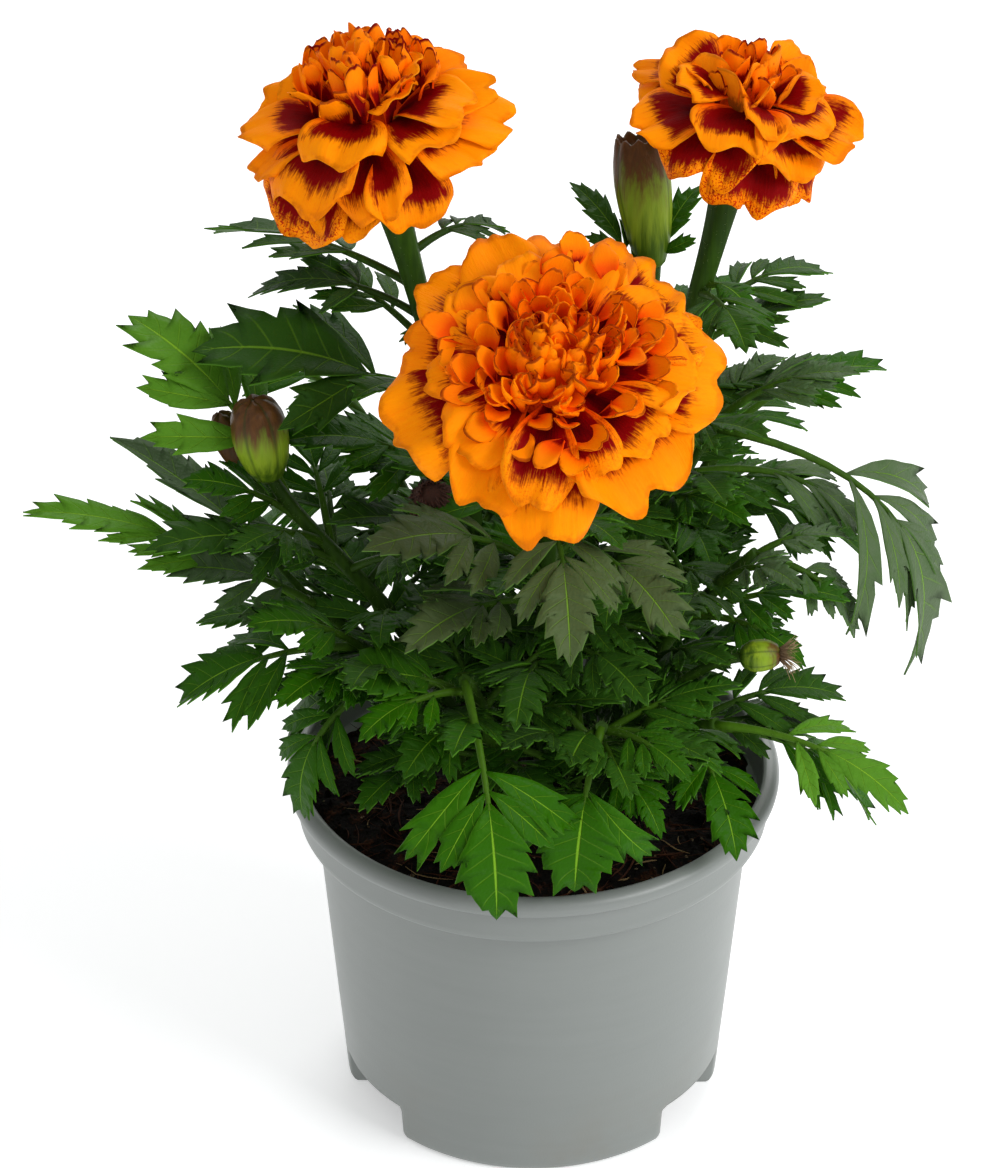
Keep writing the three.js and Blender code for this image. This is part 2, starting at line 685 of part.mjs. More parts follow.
// A bloom: a domed core with a plug in the cup, and rings of petals that stand out of the core.
function bloomSolid({ cup: stemName, plug, core: [domeRadius, domeHeight], rings }, seed) {
  const cup = stemNamed(stemName).cups[0];
  const axis = v3(cup.axis).normalize();
  const centre = v3(cup.top);
  const profile = [
    [0, -4.6], [plug * 0.62 - 0.45, -4.6], [plug - 1.35, 0.4], [domeRadius, 2.4],
    [domeRadius * 0.82, domeHeight * 0.62], [0, domeHeight],
  ];
  const solids = [solidOf(turnedAlong(profile, 8, centre, axis))];
  const spin = new THREE.Quaternion().setFromUnitVectors(UP, axis);
  rings.forEach(([count, tipRadius, tipHeight, width, bend, footPart], ring) => {
    for (let i = 0; i < count; i += 1) {
      const draw = seed + ring * 31 + i;
      const turn = (2 * Math.PI * (i + 0.5 * (ring % 2) + 0.2 * (chance(draw) - 0.5))) / count;
      const radial = new THREE.Vector3(Math.cos(turn), Math.sin(turn), 0).applyQuaternion(spin);
      const footHeight = domeHeight * footPart;
      const footRadius = Math.max(1, domeRadius * Math.sqrt(1 - footPart ** 2) - 3.2);
      const foot = centre.clone().addScaledVector(radial, footRadius).addScaledVector(axis, footHeight);
      const reach = tipRadius * (0.95 + 0.1 * chance(draw + 7));
      const height = tipHeight + bend + 1.6 * (chance(draw + 13) - 0.5);
      const tip = centre.clone().addScaledVector(radial, reach).addScaledVector(axis, height);
      const outward = tip.sub(foot);
      const length = outward.length();
      outward.normalize();
      solids.push(petalSolid({
        foot, outward, axis, length, width, bend, wave: 0.6 * (chance(draw + 19) - 0.5),
        roll: radians(11), kind: ['broad', 'tongue', 'tongue', 'floret', 'floret'][ring],
      }));
    }
  });
  return mainBody(fused(solids));
}

// ---------------------------------------------------------------- spent head and dry tuft

// A withered flower head: a crumpled ball with a flat foot on the end of its branch.
function spentSolid() {
  const [a, b, c, d] = stemNamed(SPENT.stem).paths[SPENT.branch];
  const curve = new THREE.CubicBezierCurve3(v3(a), v3(b), v3(c), v3(d));
  const along = curve.getTangent(1);
  const foot = curve.getPoint(1).addScaledVector(along, SEAT_GAP);
  const profile = [[0, 0], [1.8, 0], [4.6, 2.4], [5.4, 5.2], [4.4, 8.2], [2.2, 9.8], [0, 9.2]];
  const lathe = new THREE.LatheGeometry(profile.map(([r, z]) => new THREE.Vector2(r, z)), SPENT.sides);
  lathe.deleteAttribute('normal');
  lathe.deleteAttribute('uv');
  const ball = mergeVertices(lathe.rotateX(Math.PI / 2), 1e-4);
  const position = ball.attributes.position;
  for (let i = 0; i < position.count; i += 1) {
    if (position.getZ(i) > 1) {
      const scale = 0.88 + 0.2 * chance(i + 41);
      position.setXY(i, position.getX(i) * scale, position.getY(i) * scale);
    }
  }
  const turn = new THREE.Quaternion().setFromUnitVectors(UP, along);
  return solidOf(ball.applyQuaternion(turn).translate(foot.x, foot.y, foot.z));
}

// Dry florets on the flat tip of the right bud: thin spikes that fan out of a small disc.
function tuftSolid() {
  const pod = stemNamed(TUFT.stem).pods[TUFT.pod];
  const along = v3(pod.tip).sub(v3(pod.foot));
  const [tipRadius, tipHeight] = POD_FORMS.bud.at(-2);
  const foot = v3(pod.foot).addScaledVector(along, tipHeight);
  const aim = along.normalize();
  foot.addScaledVector(aim, SEAT_GAP);
  const radius = tipRadius * pod.radius;
  const disc = [[0, 0], [radius, 0], [radius * 0.8, 1.4], [0, 1.6]];
  const solids = [solidOf(turnedAlong(disc, 6, foot, aim))];
  const up = UP.clone().cross(aim).normalize();
  const side = aim.clone().cross(up);
  for (let i = 0; i < TUFT.hairs; i += 1) {
    const turn = (2 * Math.PI * i) / TUFT.hairs;
    const heading = aim.clone()
      .addScaledVector(up, TUFT.lean * Math.cos(turn))
      .addScaledVector(side, TUFT.lean * Math.sin(turn));
    const spike = [[0, 0], [0.5, 0], [0.3, TUFT.length * 0.8], [0, TUFT.length]];
    solids.push(solidOf(turnedAlong(spike, 3, foot.clone().addScaledVector(aim, 0.6), heading)));
  }
  return fused(solids);
}

// ---------------------------------------------------------------- the object

const marigold = new THREE.Group();

function addPiece(name, solid, finish) {
  const [color, roughness] = PALETTE[finish];
  const material = new THREE.MeshStandardMaterial({ color, roughness, metalness: 0 });
  const mesh = new THREE.Mesh(geometryOf(solid), material);
  mesh.name = name;
  marigold.add(mesh);
}

addPiece('pot', potSolid(), 'pot');
addPiece('soil', soilSolid(), 'soil');
STEMS.forEach((stem) => addPiece(stem.name, stemSolid(stem), 'green'));
BLOOMS.forEach((bloom, i) => addPiece(bloom.name, bloomSolid(bloom, 100 + 200 * i), 'petal'));
addPiece('spent_head', spentSolid(), 'spent');
addPiece('dry_tuft', tuftSolid(), 'spent');

export default marigold;
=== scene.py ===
"""A potted french marigold: three orange and maroon blooms on leafy stems in a round grey pot."""

import math

import bpy
import numpy as np
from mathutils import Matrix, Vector


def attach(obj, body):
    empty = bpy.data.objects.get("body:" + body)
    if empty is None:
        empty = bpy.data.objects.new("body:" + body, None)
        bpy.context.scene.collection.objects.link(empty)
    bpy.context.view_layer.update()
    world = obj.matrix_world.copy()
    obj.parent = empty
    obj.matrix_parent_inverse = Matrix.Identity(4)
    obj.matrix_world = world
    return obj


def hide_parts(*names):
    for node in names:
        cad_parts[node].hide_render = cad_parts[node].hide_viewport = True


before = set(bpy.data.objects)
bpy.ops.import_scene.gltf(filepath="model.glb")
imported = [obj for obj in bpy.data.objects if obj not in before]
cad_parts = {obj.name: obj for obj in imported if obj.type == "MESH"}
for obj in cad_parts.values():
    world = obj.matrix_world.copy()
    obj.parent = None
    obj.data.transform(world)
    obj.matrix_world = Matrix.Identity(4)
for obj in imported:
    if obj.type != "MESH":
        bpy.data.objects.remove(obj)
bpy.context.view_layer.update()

bl_info = {
    "name": "Potted French Marigold",
    "version": (1, 0, 0),
    "blender": (4, 5, 0),
    "location": "View3D > Sidebar > Marigold",
    "description": "Builds the pot, soil, stems, leaves and blooms of a french marigold",
    "category": "Add Mesh",
}

MM = 0.001  # places and sizes below are worked out in millimetres and made in metres
GOLDEN = math.pi * (3 - math.sqrt(5))
TINT = "tint"  # the attribute that carries each point's own shades

# ---------------------------------------------------------------- places and sizes, in millimetres

# The closed outline of the pot as (radius, height): under the foot, up the wall and the collar,
# over the rolled rim and down the inside to the floor.
POT_OUTLINE = [
    (0.6, 0), (20, 0), (34, 0), (38.4, 0), (39.6, 0.15), (40.2, 0.7), (40.6, 1.8), (40.85, 4.5),
    (41.1, 7.4), (41.15, 8.0), (41.2, 8.6), (41.25, 9.2), (41.35, 10.4), (42.5, 23), (43.8, 38),
    (45.1, 53), (46.1, 64), (46.3, 66.2), (46.6, 67.1), (47.6, 67.7), (49.3, 68.0), (49.9, 68.3),
    (50.2, 68.9), (50.3, 70), (50.3, 74.6), (50.45, 75.3), (51.0, 75.7), (51.9, 75.9),
    (52.35, 76.3), (52.5, 77.1), (52.4, 78.0), (51.9, 78.8), (51.0, 79.3), (50.0, 79.5),
    (49.4, 79.4), (49.05, 79.0), (48.95, 78.2), (48.6, 70.4), (48.3, 69.6), (45.6, 68.0),
    (45.1, 67.0), (43.0, 38), (40.3, 10.4), (40.0, 9.2), (39.8, 6.0), (39.4, 2.2), (38.4, 1.6),
    (20, 1.5), (0.6, 1.5),
]
FIRST_INNER = 37  # the first point of that outline that is inside the pot
RIM_HEIGHT = max(height for _, height in POT_OUTLINE)

# Where the pot gives way to its drain recesses: the angle of each middle, its spread and the slope
# of its sides in degrees, the radius of its back, its height and the thickness of its wall.
DRAIN = {"angles": (-150, -30, 90), "spread": 24, "slope": 5, "inner": 29, "top": 8.0, "wall": 1.2}

# The soil's level, its radius at the top, its side inside the pot as (radius, height), and how
# far out its crumbs and the middles of its fibres lie.
SOIL = {"top": 69.5, "radius": 48.1, "crumbs": 47.0, "fibres": 43.0,
        "side": [(0.6, 3.0), (30, 3.0), (38.5, 12.0), (44.6, 66.0), (47.5, 68.6)]}

# A stem's paths are cubic curves: four points and the radii of foot and tip, the first from the
# soil and the others branching off it. A cup stands on the first and carries a bloom. A leaf is
# (place along the first path, tip, bow, turn in degrees, pairs of leaflets, breadth, finish). A
# pod is (foot, tip, radius, form).
CUP_LENGTH = 13
CUP_SWELL = 1.6  # how much a stalk's radius grows towards the cup on it
STEMS = {
    "left_bloom_stem": {
        "paths": [((-5, 5, 55), (-6, 6, 120), (-20, 7, 175), (-28.6, 9.2, 208.6), 2.0, 1.9)],
        "leaves": [
            (0.60, (-69.5, 3, 182.5), 5, 12, 1, 1.2, "dark"),
            (0.84, (-67, 38, 188), 4, -15, 2, 0.9, "dark"),
            (0.78, (-59, 22, 181), 6, 10, 1, 0.6, "shadow"),
            (0.90, (-6, 26, 194), 4, 0, 2, 0.9, "shadow"),
            (0.50, (-52, -6, 165), 4, 10, 2, 0.9, "mid"),
            (0.42, (-42, -14, 148), 3, 10, 2, 0.9, "dark"),
        ],
        "cup": {"top": (-31, 12, 220), "axis": (-0.2, 0.23, 0.95), "radius": 5.4},
    },
    "right_bloom_stem": {
        "paths": [((6, 5, 55), (14, 8, 120), (33, 11, 180), (39, 13.6, 211.5), 2.0, 1.9)],
        "leaves": [
            (0.80, (44, 2, 190), 2, 0, 0, 1.5, "mid"),
            (0.72, (62, 30, 184), 5, 0, 2, 0.9, "dark"),
            (0.46, (44, -16, 150), 3, -10, 2, 0.9, "mid"),
        ],
        "cup": {"top": (41, 16, 223), "axis": (0.17, 0.2, 0.96), "radius": 5.0},
    },
    "front_bloom_stem": {
        "paths": [
            ((2, -8, 55), (2, -10, 110), (3, -9, 150), (3.8, -25, 180.9), 2.1, 2.0),
            ((2, -9, 106), (-6, -4, 124), (-17, 0, 136), (-19.5, -9.5, 148.5), 1.3, 1.2),
        ],
        "leaves": [
            (0.56, (-34, -40, 158), 6, 15, 2, 0.9, "brown"),
            (0.72, (8, -56, 141), 7, 2, 2, 1.0, "brown"),
            (0.66, (30, -44, 140), 5, -10, 2, 0.95, "brown"),
            (0.50, (-26, -44, 138), 4, 10, 2, 0.9, "brown"),
            (0.42, (24, -44, 124), 4, -10, 2, 0.9, "dark"),
            (0.38, (-4, -50, 124), 4, 0, 2, 0.9, "dark"),
        ],
        "cup": {"top": (3.8, -31, 191.3), "axis": (0, -0.5, 0.866), "radius": 5.6},
    },
    "faded_bloom_stem": {
        "paths": [((2.5, 10.5, 55), (6, 13, 120), (23, 24, 156), (24.5, 33, 182.5), 1.9, 1.8)],
        "leaves": [
            (0.85, (8, 40, 199), 4, 0, 2, 0.8, "dark"),
            (0.92, (34, 42, 197), 3, 0, 1, 0.8, "mid"),
            (0.74, (44, 52, 168), 5, 0, 2, 1.0, "mid"),
        ],
        "pods": [((24.5, 33, 181.5), (21, 39.5, 208.5), 6.0, "faded")],
    },
    "left_bud_stem": {
        "paths": [
            ((-9.5, -2, 55), (-12.5, -2, 113), (-44, -6, 132), (-54.3, -6, 154.5), 2.0, 1.4),
            ((-44, -5.5, 138), (-51, 1, 144), (-57, 3, 143), (-60, 5, 150.5), 1.2, 1.1),
        ],
        "leaves": [
            (0.86, (-83, 14, 182), 5, 10, 2, 1.1, "pale"),
            (0.80, (-72, -10, 156), 3, 20, 2, 1.0, "mid"),
            (0.68, (-79, -22, 148), 4, 15, 1, 0.7, "dark"),
            (0.72, (-50, 26, 150), 4, 0, 2, 0.9, "mid"),
        ],
        "pods": [
            ((-54.2, -6, 153.4), (-57.4, -5, 171.8), 6.0, "bud"),
            ((-59.8, 5, 150), (-65, 6, 162), 4.0, "dark_bud"),
        ],
    },
    "left_shoot": {
        "paths": [((-12, 1, 55), (-16, 1, 95), (-34, 0, 110), (-48, -3, 122), 2.0, 1.3)],
        "leaves": [
            (0.99, (-105, -5, 147), 4, 10, 3, 0.8, "pale"),
            (0.92, (-88, 14, 152), 3, -10, 1, 0.8, "grey"),
            (0.85, (-76, -12, 136), 4, 20, 2, 0.9, "grey"),
            (0.70, (-62, 22, 118), 4, -10, 2, 1.0, "dark"),
        ],
    },
    "left_low_shoot": {
        "paths": [((-9, -7, 55), (-14, -10, 90), (-24, -16, 110), (-36, -20, 122), 2.0, 1.3)],
        "leaves": [
            (0.92, (-58, -34, 137), 3, 15, 2, 1.0, "mid"),
            (0.99, (-74, -27, 113), 4, 5, 2, 1.15, "mid"),
            (0.86, (-52, -42, 122), 3, 10, 2, 0.9, "bright"),
            (0.80, (-49, -28, 82), 8, 20, 2, 0.9, "mid"),
            (0.70, (-53, -13, 94), 5, 10, 1, 1.1, "dark"),
        ],
    },
    "front_left_shoot": {
        "paths": [((-4, -12, 55), (-6, -18, 90), (-10, -26, 112), (-14, -36, 124), 2.0, 1.3)],
        "leaves": [
            (0.99, (-7, -65, 82.5), 8, 0, 2, 1.15, "bright"),
            (0.79, (-40, -38, 126), 3, 18, 1, 1.45, "mid"),
            (0.66, (-27, -42, 104), 4, 10, 1, 1.4, "mid"),
            (0.88, (-36, -50, 120), 3, 10, 2, 0.9, "bright"),
            (0.45, (-37, -30, 96), 4, 10, 2, 0.8, "dark"),
        ],
    },
    "front_right_shoot": {
        "paths": [((5, -12, 55), (8, -18, 90), (12, -28, 106), (14, -38, 114), 2.0, 1.3)],
        "leaves": [
            (0.99, (9, -53, 82), 5, 20, 1, 1.5, "bright"),
            (0.90, (7, -47, 111), 2, 0, 0, 2.4, "dark"),
            (0.92, (32, -54, 112), 3, -10, 2, 0.9, "mid"),
            (0.85, (39, -41, 105), 4, -10, 2, 1.0, "mid"),
            (0.60, (27, -42, 89), 4, -15, 2, 0.9, "bright"),
        ],
    },
    "right_low_shoot": {
        "paths": [
            ((11, -5, 55), (18, -8, 85), (28, -14, 98), (38, -22, 104), 2.0, 1.3),
            ((18.8, -8.9, 79.5), (23, -17, 106), (32, -22, 119), (43, -21, 120), 1.2, 1.0),
        ],
        "leaves": [
            (0.90, (73, -20, 80), 6, 0, 2, 0.95, "bright"),
            (0.99, (79, -33, 90), 5, -15, 2, 0.8, "pale"),
            (0.75, (66, -8, 103), 5, -10, 2, 0.9, "dark"),
            (0.80, (43, -44, 85), 4, 0, 1, 1.0, "bright"),
        ],
        "pods": [((42.5, -21, 120), (51, -20.5, 120.5), 3.4, "round_bud")],
    },
    "right_shoot": {
        "paths": [((11, 2, 55), (16, 0, 100), (30, -4, 118), (46, -6, 136), 2.0, 1.3)],
        "leaves": [
            (0.99, (68, -11, 118), 5, -10, 2, 1.0, "grey"),
            (0.70, (57, -14, 113), 4, -10, 2, 0.9, "mid"),
            (0.50, (40, -26, 122), 3, -10, 2, 0.9, "dark"),
            (0.85, (55, -22, 138), 4, -20, 2, 0.8, "grey"),
            (0.93, (66, 0, 136), 4, 0, 2, 0.8, "grey"),
        ],
    },
    "right_high_shoot": {
        "paths": [((10, 8, 55), (15, 12, 110), (28, 12, 140), (38, 8, 160), 2.0, 1.3)],
        "leaves": [
            (0.99, (67, 8, 171), 4, -10, 3, 1.1, "grey"),
            (0.96, (84, 4, 97), 18, -20, 3, 1.05, "silver"),
            (0.78, (72, 10, 124), 10, -15, 3, 0.95, "silver"),
            (0.90, (52, 24, 166), 4, 0, 2, 0.9, "grey"),
        ],
    },
    "back_left_shoot": {
        "paths": [((-5, 11, 55), (-10, 18, 100), (-28, 28, 128), (-36, 38, 142), 2.0, 1.3)],
        "leaves": [
            (0.99, (-70, 50, 152), 5, 0, 2, 1.0, "mid"),
            (0.88, (-48, 68, 134), 5, 0, 2, 1.0, "bright"),
            (0.74, (-62, 36, 112), 5, 0, 2, 1.0, "mid"),
            (0.60, (-34, 54, 98), 5, 0, 2, 1.0, "dark"),
        ],
    },
    "back_shoot": {
        "paths": [((-0.5, 15, 55), (2, 24, 100), (4, 40, 128), (2, 50, 142), 2.0, 1.3)],
        "leaves": [
            (0.99, (-10, 86, 138), 7, 0, 2, 1.0, "mid"),
            (0.88, (24, 76, 132), 5, 0, 2, 1.0, "dark"),
            (0.78, (4, 74, 104), 6, 0, 2, 1.0, "bright"),
            (0.96, (4, 70, 166), 4, 0, 2, 0.9, "mid"),
        ],
    },
    "back_right_shoot": {
        "paths": [((6, 13, 55), (14, 20, 98), (32, 30, 124), (42, 38, 140), 2.0, 1.3)],
        "leaves": [
            (0.99, (76, 50, 148), 5, 0, 2, 1.0, "mid"),
            (0.88, (54, 68, 130), 5, 0, 2, 1.0, "mid"),
            (0.76, (72, 30, 112), 5, 0, 2, 1.0, "dark"),
            (0.60, (38, 56, 98), 5, 0, 2, 1.0, "bright"),
        ],
    },
}

# What a leaf's finish is made of, each from 0 to 1: (tone from dark to pale, silver, brown).
FINISHES = {
    "shadow": (0.08, 0.2, 0.0),
    "dark": (0.27, 0.08, 0.0),
    "mid": (0.52, 0.03, 0.0),
    "bright": (0.72, 0.0, 0.0),
    "pale": (1.0, 0.05, 0.0),
    "brown": (0.4, 0.4, 0.6),
    "grey": (0.4, 0.8, 0.0),
    "silver": (0.42, 1.0, 0.08),
}

# Where a blade's columns of points lie, from one edge over the midrib to the other.
COLUMNS = np.array([-1, -0.62, -0.14, 0, 0.14, 0.62, 1])

# Where the hairs of a leaf's stalk stand between two of its rings.
HAIR_STEPS = np.array([0.1, 0.4, 0.75])[:, None]

# A blade's teeth lie from start to end along it, stand out by peak and back by notch as parts of
# the width, and the two powers of its form set where it is widest.
SIDE_BLADE = {"teeth": 2, "start": 0.44, "end": 0.86, "peak": 0.3, "notch": 0.2,
              "form": (1.35, 1.15)}
END_BLADE = {"teeth": 4, "start": 0.22, "end": 0.88, "peak": 0.28, "notch": 0.17,
             "form": (1.2, 1.2)}

# How the green cups and buds swell, as (radius, height) parts of their size, how many bracts they
# are fused of, how deep the seams between these are, and how high the colour turns to brown.
POD_FORMS = {
    "bud": {
        "profile": [(0.3, 0), (0.52, 0.05), (0.8, 0.22), (0.97, 0.45), (1.0, 0.6), (0.94, 0.77),
                    (0.76, 0.91), (0.46, 0.985), (0.1, 1.0)],
        "bracts": 6, "seam": 0.07, "teeth": 0.03, "turn": 0.58, "plain": 0,
    },
    "dark_bud": {
        "profile": [(0.3, 0), (0.6, 0.06), (0.9, 0.25), (1.0, 0.5), (0.85, 0.78), (0.5, 0.95),
                    (0.1, 1.0)],
        "bracts": 5, "seam": 0.08, "teeth": 0.04, "turn": 0.05, "plain": 0,
    },
    "round_bud": {
        "profile": [(0.32, 0), (0.66, 0.06), (0.96, 0.28), (1.0, 0.5), (0.9, 0.74), (0.62, 0.92),
                    (0.3, 0.97), (0.1, 0.93)],
        "bracts": 6, "seam": 0.05, "teeth": 0.03, "turn": 0.72, "plain": 0,
    },
    "faded": {
        "profile": [(0.3, 0), (0.48, 0.04), (0.74, 0.2), (0.93, 0.45), (1.0, 0.66), (0.95, 0.82),
                    (0.84, 0.94), (0.76, 1.0), (0.66, 1.0), (0.56, 0.92), (0.1, 0.88)],
        "bracts": 9, "seam": 0.035, "teeth": 0.05, "turn": 0.66, "plain": 0,
    },
    "cup": {
        "profile": [(0.4, 0), (0.52, 0.06), (0.74, 0.3), (0.9, 0.6), (1.0, 0.98), (0.97, 1.02),
                    (0.86, 0.98), (0.7, 0.7), (0.1, 0.66)],
        "bracts": 8, "seam": 0.03, "teeth": 0.04, "turn": 1.6, "plain": 1,
    },
}

# The blooms. A core is (radius, height). A ring, which fills only the far side behind the placed
# petals, is (count, radius and height of the tips, width, bend down, foot as a part of the core's
# height, blotch, notch). A placed petal is (turn in degrees, radius and height of the tip, width,
# bend down, foot, blotch, roll in degrees, notch). Blotch is how far the maroon reaches along a
# petal, and notch how deep its tip is cut. Small florets stand in zones, whose rows follow
# ZONE_KEYS; a pair gives the value at a zone's inner and at its outer edge: the radius and height
# of the tips, the lean over the ring's plane in degrees, the half angle of the hollow and how far
# the tip curls in, as a part of the length. Edge is how dark the rims are, spread how far a floret
# may face aside, in radians, and far how much further out, as a share, the florets stand on the
# side that leans back.
ZONE_KEYS = ("count", "radius", "height", "lean", "long", "wide", "cup", "curl", "blotch", "edge",
             "spread", "far")
BLOOMS = [
    {
        "name": "left_bloom", "core": (10.5, 15),
        "rings": [(9, 27, -13, 21, 7, 0.18, 0.7, 0.08), (8, 26, 2, 17, 5, 0.3, 0.7, 0.05),
                  (8, 21.5, 12, 12, 3, 0.48, 0.68, 0.03)],
        "placed": [
            (-152, 23.5, -13, 21, 3, 0.14, 0.9, 34, 0.06),
            (-124, 20, -14.5, 17, 3, 0.12, 0.84, 16, 0.1),
            (-134, 25, -3, 23, 5, 0.3, 0.82, 10, 0.03), (-95, 23, -8, 15, 4, 0.26, 0.79, -8, 0.03),
            (-72, 21, -14, 18, 4, 0.2, 0.82, 10, 0.08),
            (-31, 25.5, -4, 21, 5, 0.34, 0.67, -16, 0.08),
            (-13, 28, 2, 14, 4, 0.36, 0.57, -34, 0.1), (-15, 26.5, 10, 10, 1, 0.5, 0.57, -50, 0.05),
            (-36, 24, 9.5, 13, 2, 0.5, 0.71, -20, 0.05), (-110, 21, 5, 18, 4, 0.5, 0.75, 10, 0.06),
            (-50, 22, 4, 17, 4, 0.46, 0.79, -12, 0.04),
            (162, 19.5, 16, 15, -2, 0.5, 0.77, 52, 0.02),
            (-172, 26, 11, 12, 2, 0.42, 0.67, 24, 0.04),
            (-170, 26.5, 3, 13, 3, 0.34, 0.67, 14, 0.06),
            (166, 23, 14, 11, 0, 0.4, 0.57, 60, 0.03), (-112, 11, 18.5, 10, 0, 0.7, 0.77, 16, 0.02),
            (-60, 15, 14, 11, 0, 0.6, 0.77, -16, 0.04), (-34, 14, 19, 9, 0, 0.7, 0.67, -30, 0.02),
            (34, 17, 17.5, 11, 0, 0.6, 0.57, -50, 0.03), (8, 20, 15, 11, 0, 0.55, 0.57, -44, 0.04),
            (58, 19, 15.5, 16, 2, 0.55, 0.6, -12, 0.04), (92, 20, 15, 18, 2, 0.55, 0.6, 8, 0.05),
            (127, 19, 15.5, 16, 2, 0.55, 0.6, 14, 0.03),
        ],
        "zones": [
            (16, (11, 16), (21, 16), (76, 52), 12, 7.6, (0.9, 0.7), (0.1, -0.1), 0.68, 0.8, 1.4, 0),
            (62, (0.5, 14.5), (27, 21), (90, 72), 9.5, 4.8, (1.4, 1), (0.28, 0.12), 0.42, 1, 2.6,
             0),
        ],
    },
    {
        "name": "right_bloom", "core": (9, 11),
        "rings": [(8, 25, -10, 19, 5, 0.2, 0.86, 0.22), (7, 23, 3, 15, 4, 0.34, 0.84, 0.14),
                  (7, 16, 11.5, 9, 1, 0.6, 0.76, 0.05)],
        "placed": [
            (-79, 21, -12, 19, 4, 0.16, 0.92, 6, 0.2), (-113, 22, -7, 21, 4, 0.26, 0.9, -6, 0.18),
            (-55, 22, -3, 18, 4, 0.3, 0.8, 8, 0.14), (-38, 20, -9.5, 12, 3, 0.16, 0.9, -10, 0.06),
            (-28, 25, 3, 17, 4, 0.4, 0.82, -22, 0.08), (30, 21, 6, 10, 1, 0.5, 0.8, -30, 0.04),
            (-156, 24, -2, 15, 4, 0.36, 0.79, 20, 0.16), (164, 22, 3, 12, 2, 0.46, 0.77, 34, 0.04),
            (158, 24.5, 6.5, 9, 1, 0.54, 0.77, 20, 0.05),
            (172, 17, 16.5, 14, -2, 0.5, 0.75, 58, 0.02),
            (-96, 20, 1, 19, 5, 0.46, 0.79, -4, 0.05),
            (-70, 18.5, 4.5, 13, 4, 0.52, 0.79, 14, 0.04),
            (-36, 20, 5.5, 14, 3, 0.5, 0.79, -14, 0.04),
            (-150, 17, 10, 10, 1, 0.66, 0.77, 30, 0.03),
            (44, 15, 15.5, 12, 0, 0.6, 0.57, -56, 0.03), (26, 19, 9, 8, 0, 0.6, 0.57, -40, 0.03),
            (-18, 15.5, 12, 10, 0, 0.64, 0.77, -40, 0.03),
        ],
        "zones": [
            (13, (6, 13), (18, 14), (84, 56), 11, 9, (0.8, 0.6), (0.06, -0.1), 0.55, 0.6, 1.8, 0),
            (22, (0.5, 10), (18.5, 14), (88, 70), 9, 5.4, (1.2, 0.8), (0.24, 0.06), 0.5, 1, 2.6, 0),
        ],
    },
    {
        "name": "front_bloom", "core": (12, 12),
        "rings": [],
        "placed": [
            (-94, 35.4, -1, 20, 3, 0.18, 0.74, -8, 0.05), (-52, 34, 0, 26, 3, 0.16, 0.64, 8, 0.1),
            (0, 33.8, 1, 24, 3, 0.18, 0.74, -10, 0.06), (21, 31.5, 3, 18, 3, 0.24, 0.86, 10, 0.05),
            (48, 32.3, 3, 20, 3, 0.2, 0.8, -8, 0.08), (69, 33, 4, 15, 2, 0.22, 0.4, 8, 0.02),
            (90, 31, 4, 18, 3, 0.18, 0.4, -8, 0.06), (115, 33.6, 4, 16, 3, 0.2, 0.36, 8, 0.04),
            (139, 34, 2, 17, 3, 0.18, 0.76, -8, 0.05), (167, 30.5, 2, 18, 3, 0.22, 0.74, 8, 0.05),
            (-163, 34.3, 0, 26, 4, 0.16, 0.72, -6, 0.06),
            (-119, 32.5, 0, 19, 3, 0.2, 0.48, 8, 0.06),
            (-97, 30, 6, 14, 4, 0.4, 0.84, 10, 0.04), (-40, 26, 7, 15, 3, 0.4, 0.82, -10, 0.05),
            (-5, 27.6, 7, 18, 3, 0.42, 0.68, 8, 0.05), (35, 25, 9, 14, 2, 0.44, 0.74, -8, 0.04),
            (67, 25, 10, 14, 2, 0.44, 0.5, 8, 0.04), (105, 24, 10, 14, 2, 0.44, 0.5, -10, 0.04),
            (143, 25, 9, 15, 2, 0.42, 0.7, 10, 0.04), (-172, 25, 8, 14, 2, 0.42, 0.8, -8, 0.04),
            (-136, 26.5, 7, 15, 3, 0.4, 0.56, 10, 0.05),
            (-72, 26.5, 7, 13, 3, 0.42, 0.84, -12, 0.03),
        ],
        "zones": [
            (46, (15, 26.5), (14.5, 10.5), (58, 22), 9.8, 6.6, (1.1, 0.8), (0.16, -0.02), 0.32, 0.7,
             1, 0.06),
            (38, (9, 17), (17, 15), (78, 52), 10, 5.4, (1.3, 0.9), (0.26, 0.12), 0.16, 0.8, 1.8,
             0.05),
            (48, (0.5, 11), (18.5, 17), (90, 74), 8, 4.6, (1.5, 1.1), (0.36, 0.22), 0.04, 0.8, 2.8,
             0),
        ],
    },
]
FAR_SIDE = 0.72  # the least sine of the turn at which a ring's petals stand
SPENT = {"stem": "front_bloom_stem", "branch": 1, "radius": 5.4, "height": 9.8, "florets": 90}
TUFT = {"foot": (50.4, -20.5, 120.5), "hairs": 56, "length": 4.2}

# The size in pixels of the image that the camera is set for, and where in it the middle of the
# pot's rim lies, from the left and from the top.
IMAGE = (1000, 1168)
RIM_PIXEL = (533.1, 759.6)

# The lights: name, place and size in metres, and strength as a share of the main light's.
LIGHTS = [
    ("key", (1.15, -0.7, 1.05), 0.8, 1.0),
    ("fill", (-1.1, -0.5, 0.7), 1.0, 0.02),
    ("back", (0.2, 1.1, 0.9), 0.9, 0.4),
]


# ---------------------------------------------------------------- colours and settings


def srgb(*channels):
    """The linear colour of a display colour given in parts of 255, by the sRGB curve."""
    part = np.array(channels) / 255
    linear = np.where(part <= 0.04045, part / 12.92, ((part + 0.055) / 1.055) ** 2.4)
    return tuple(float(value) for value in linear)


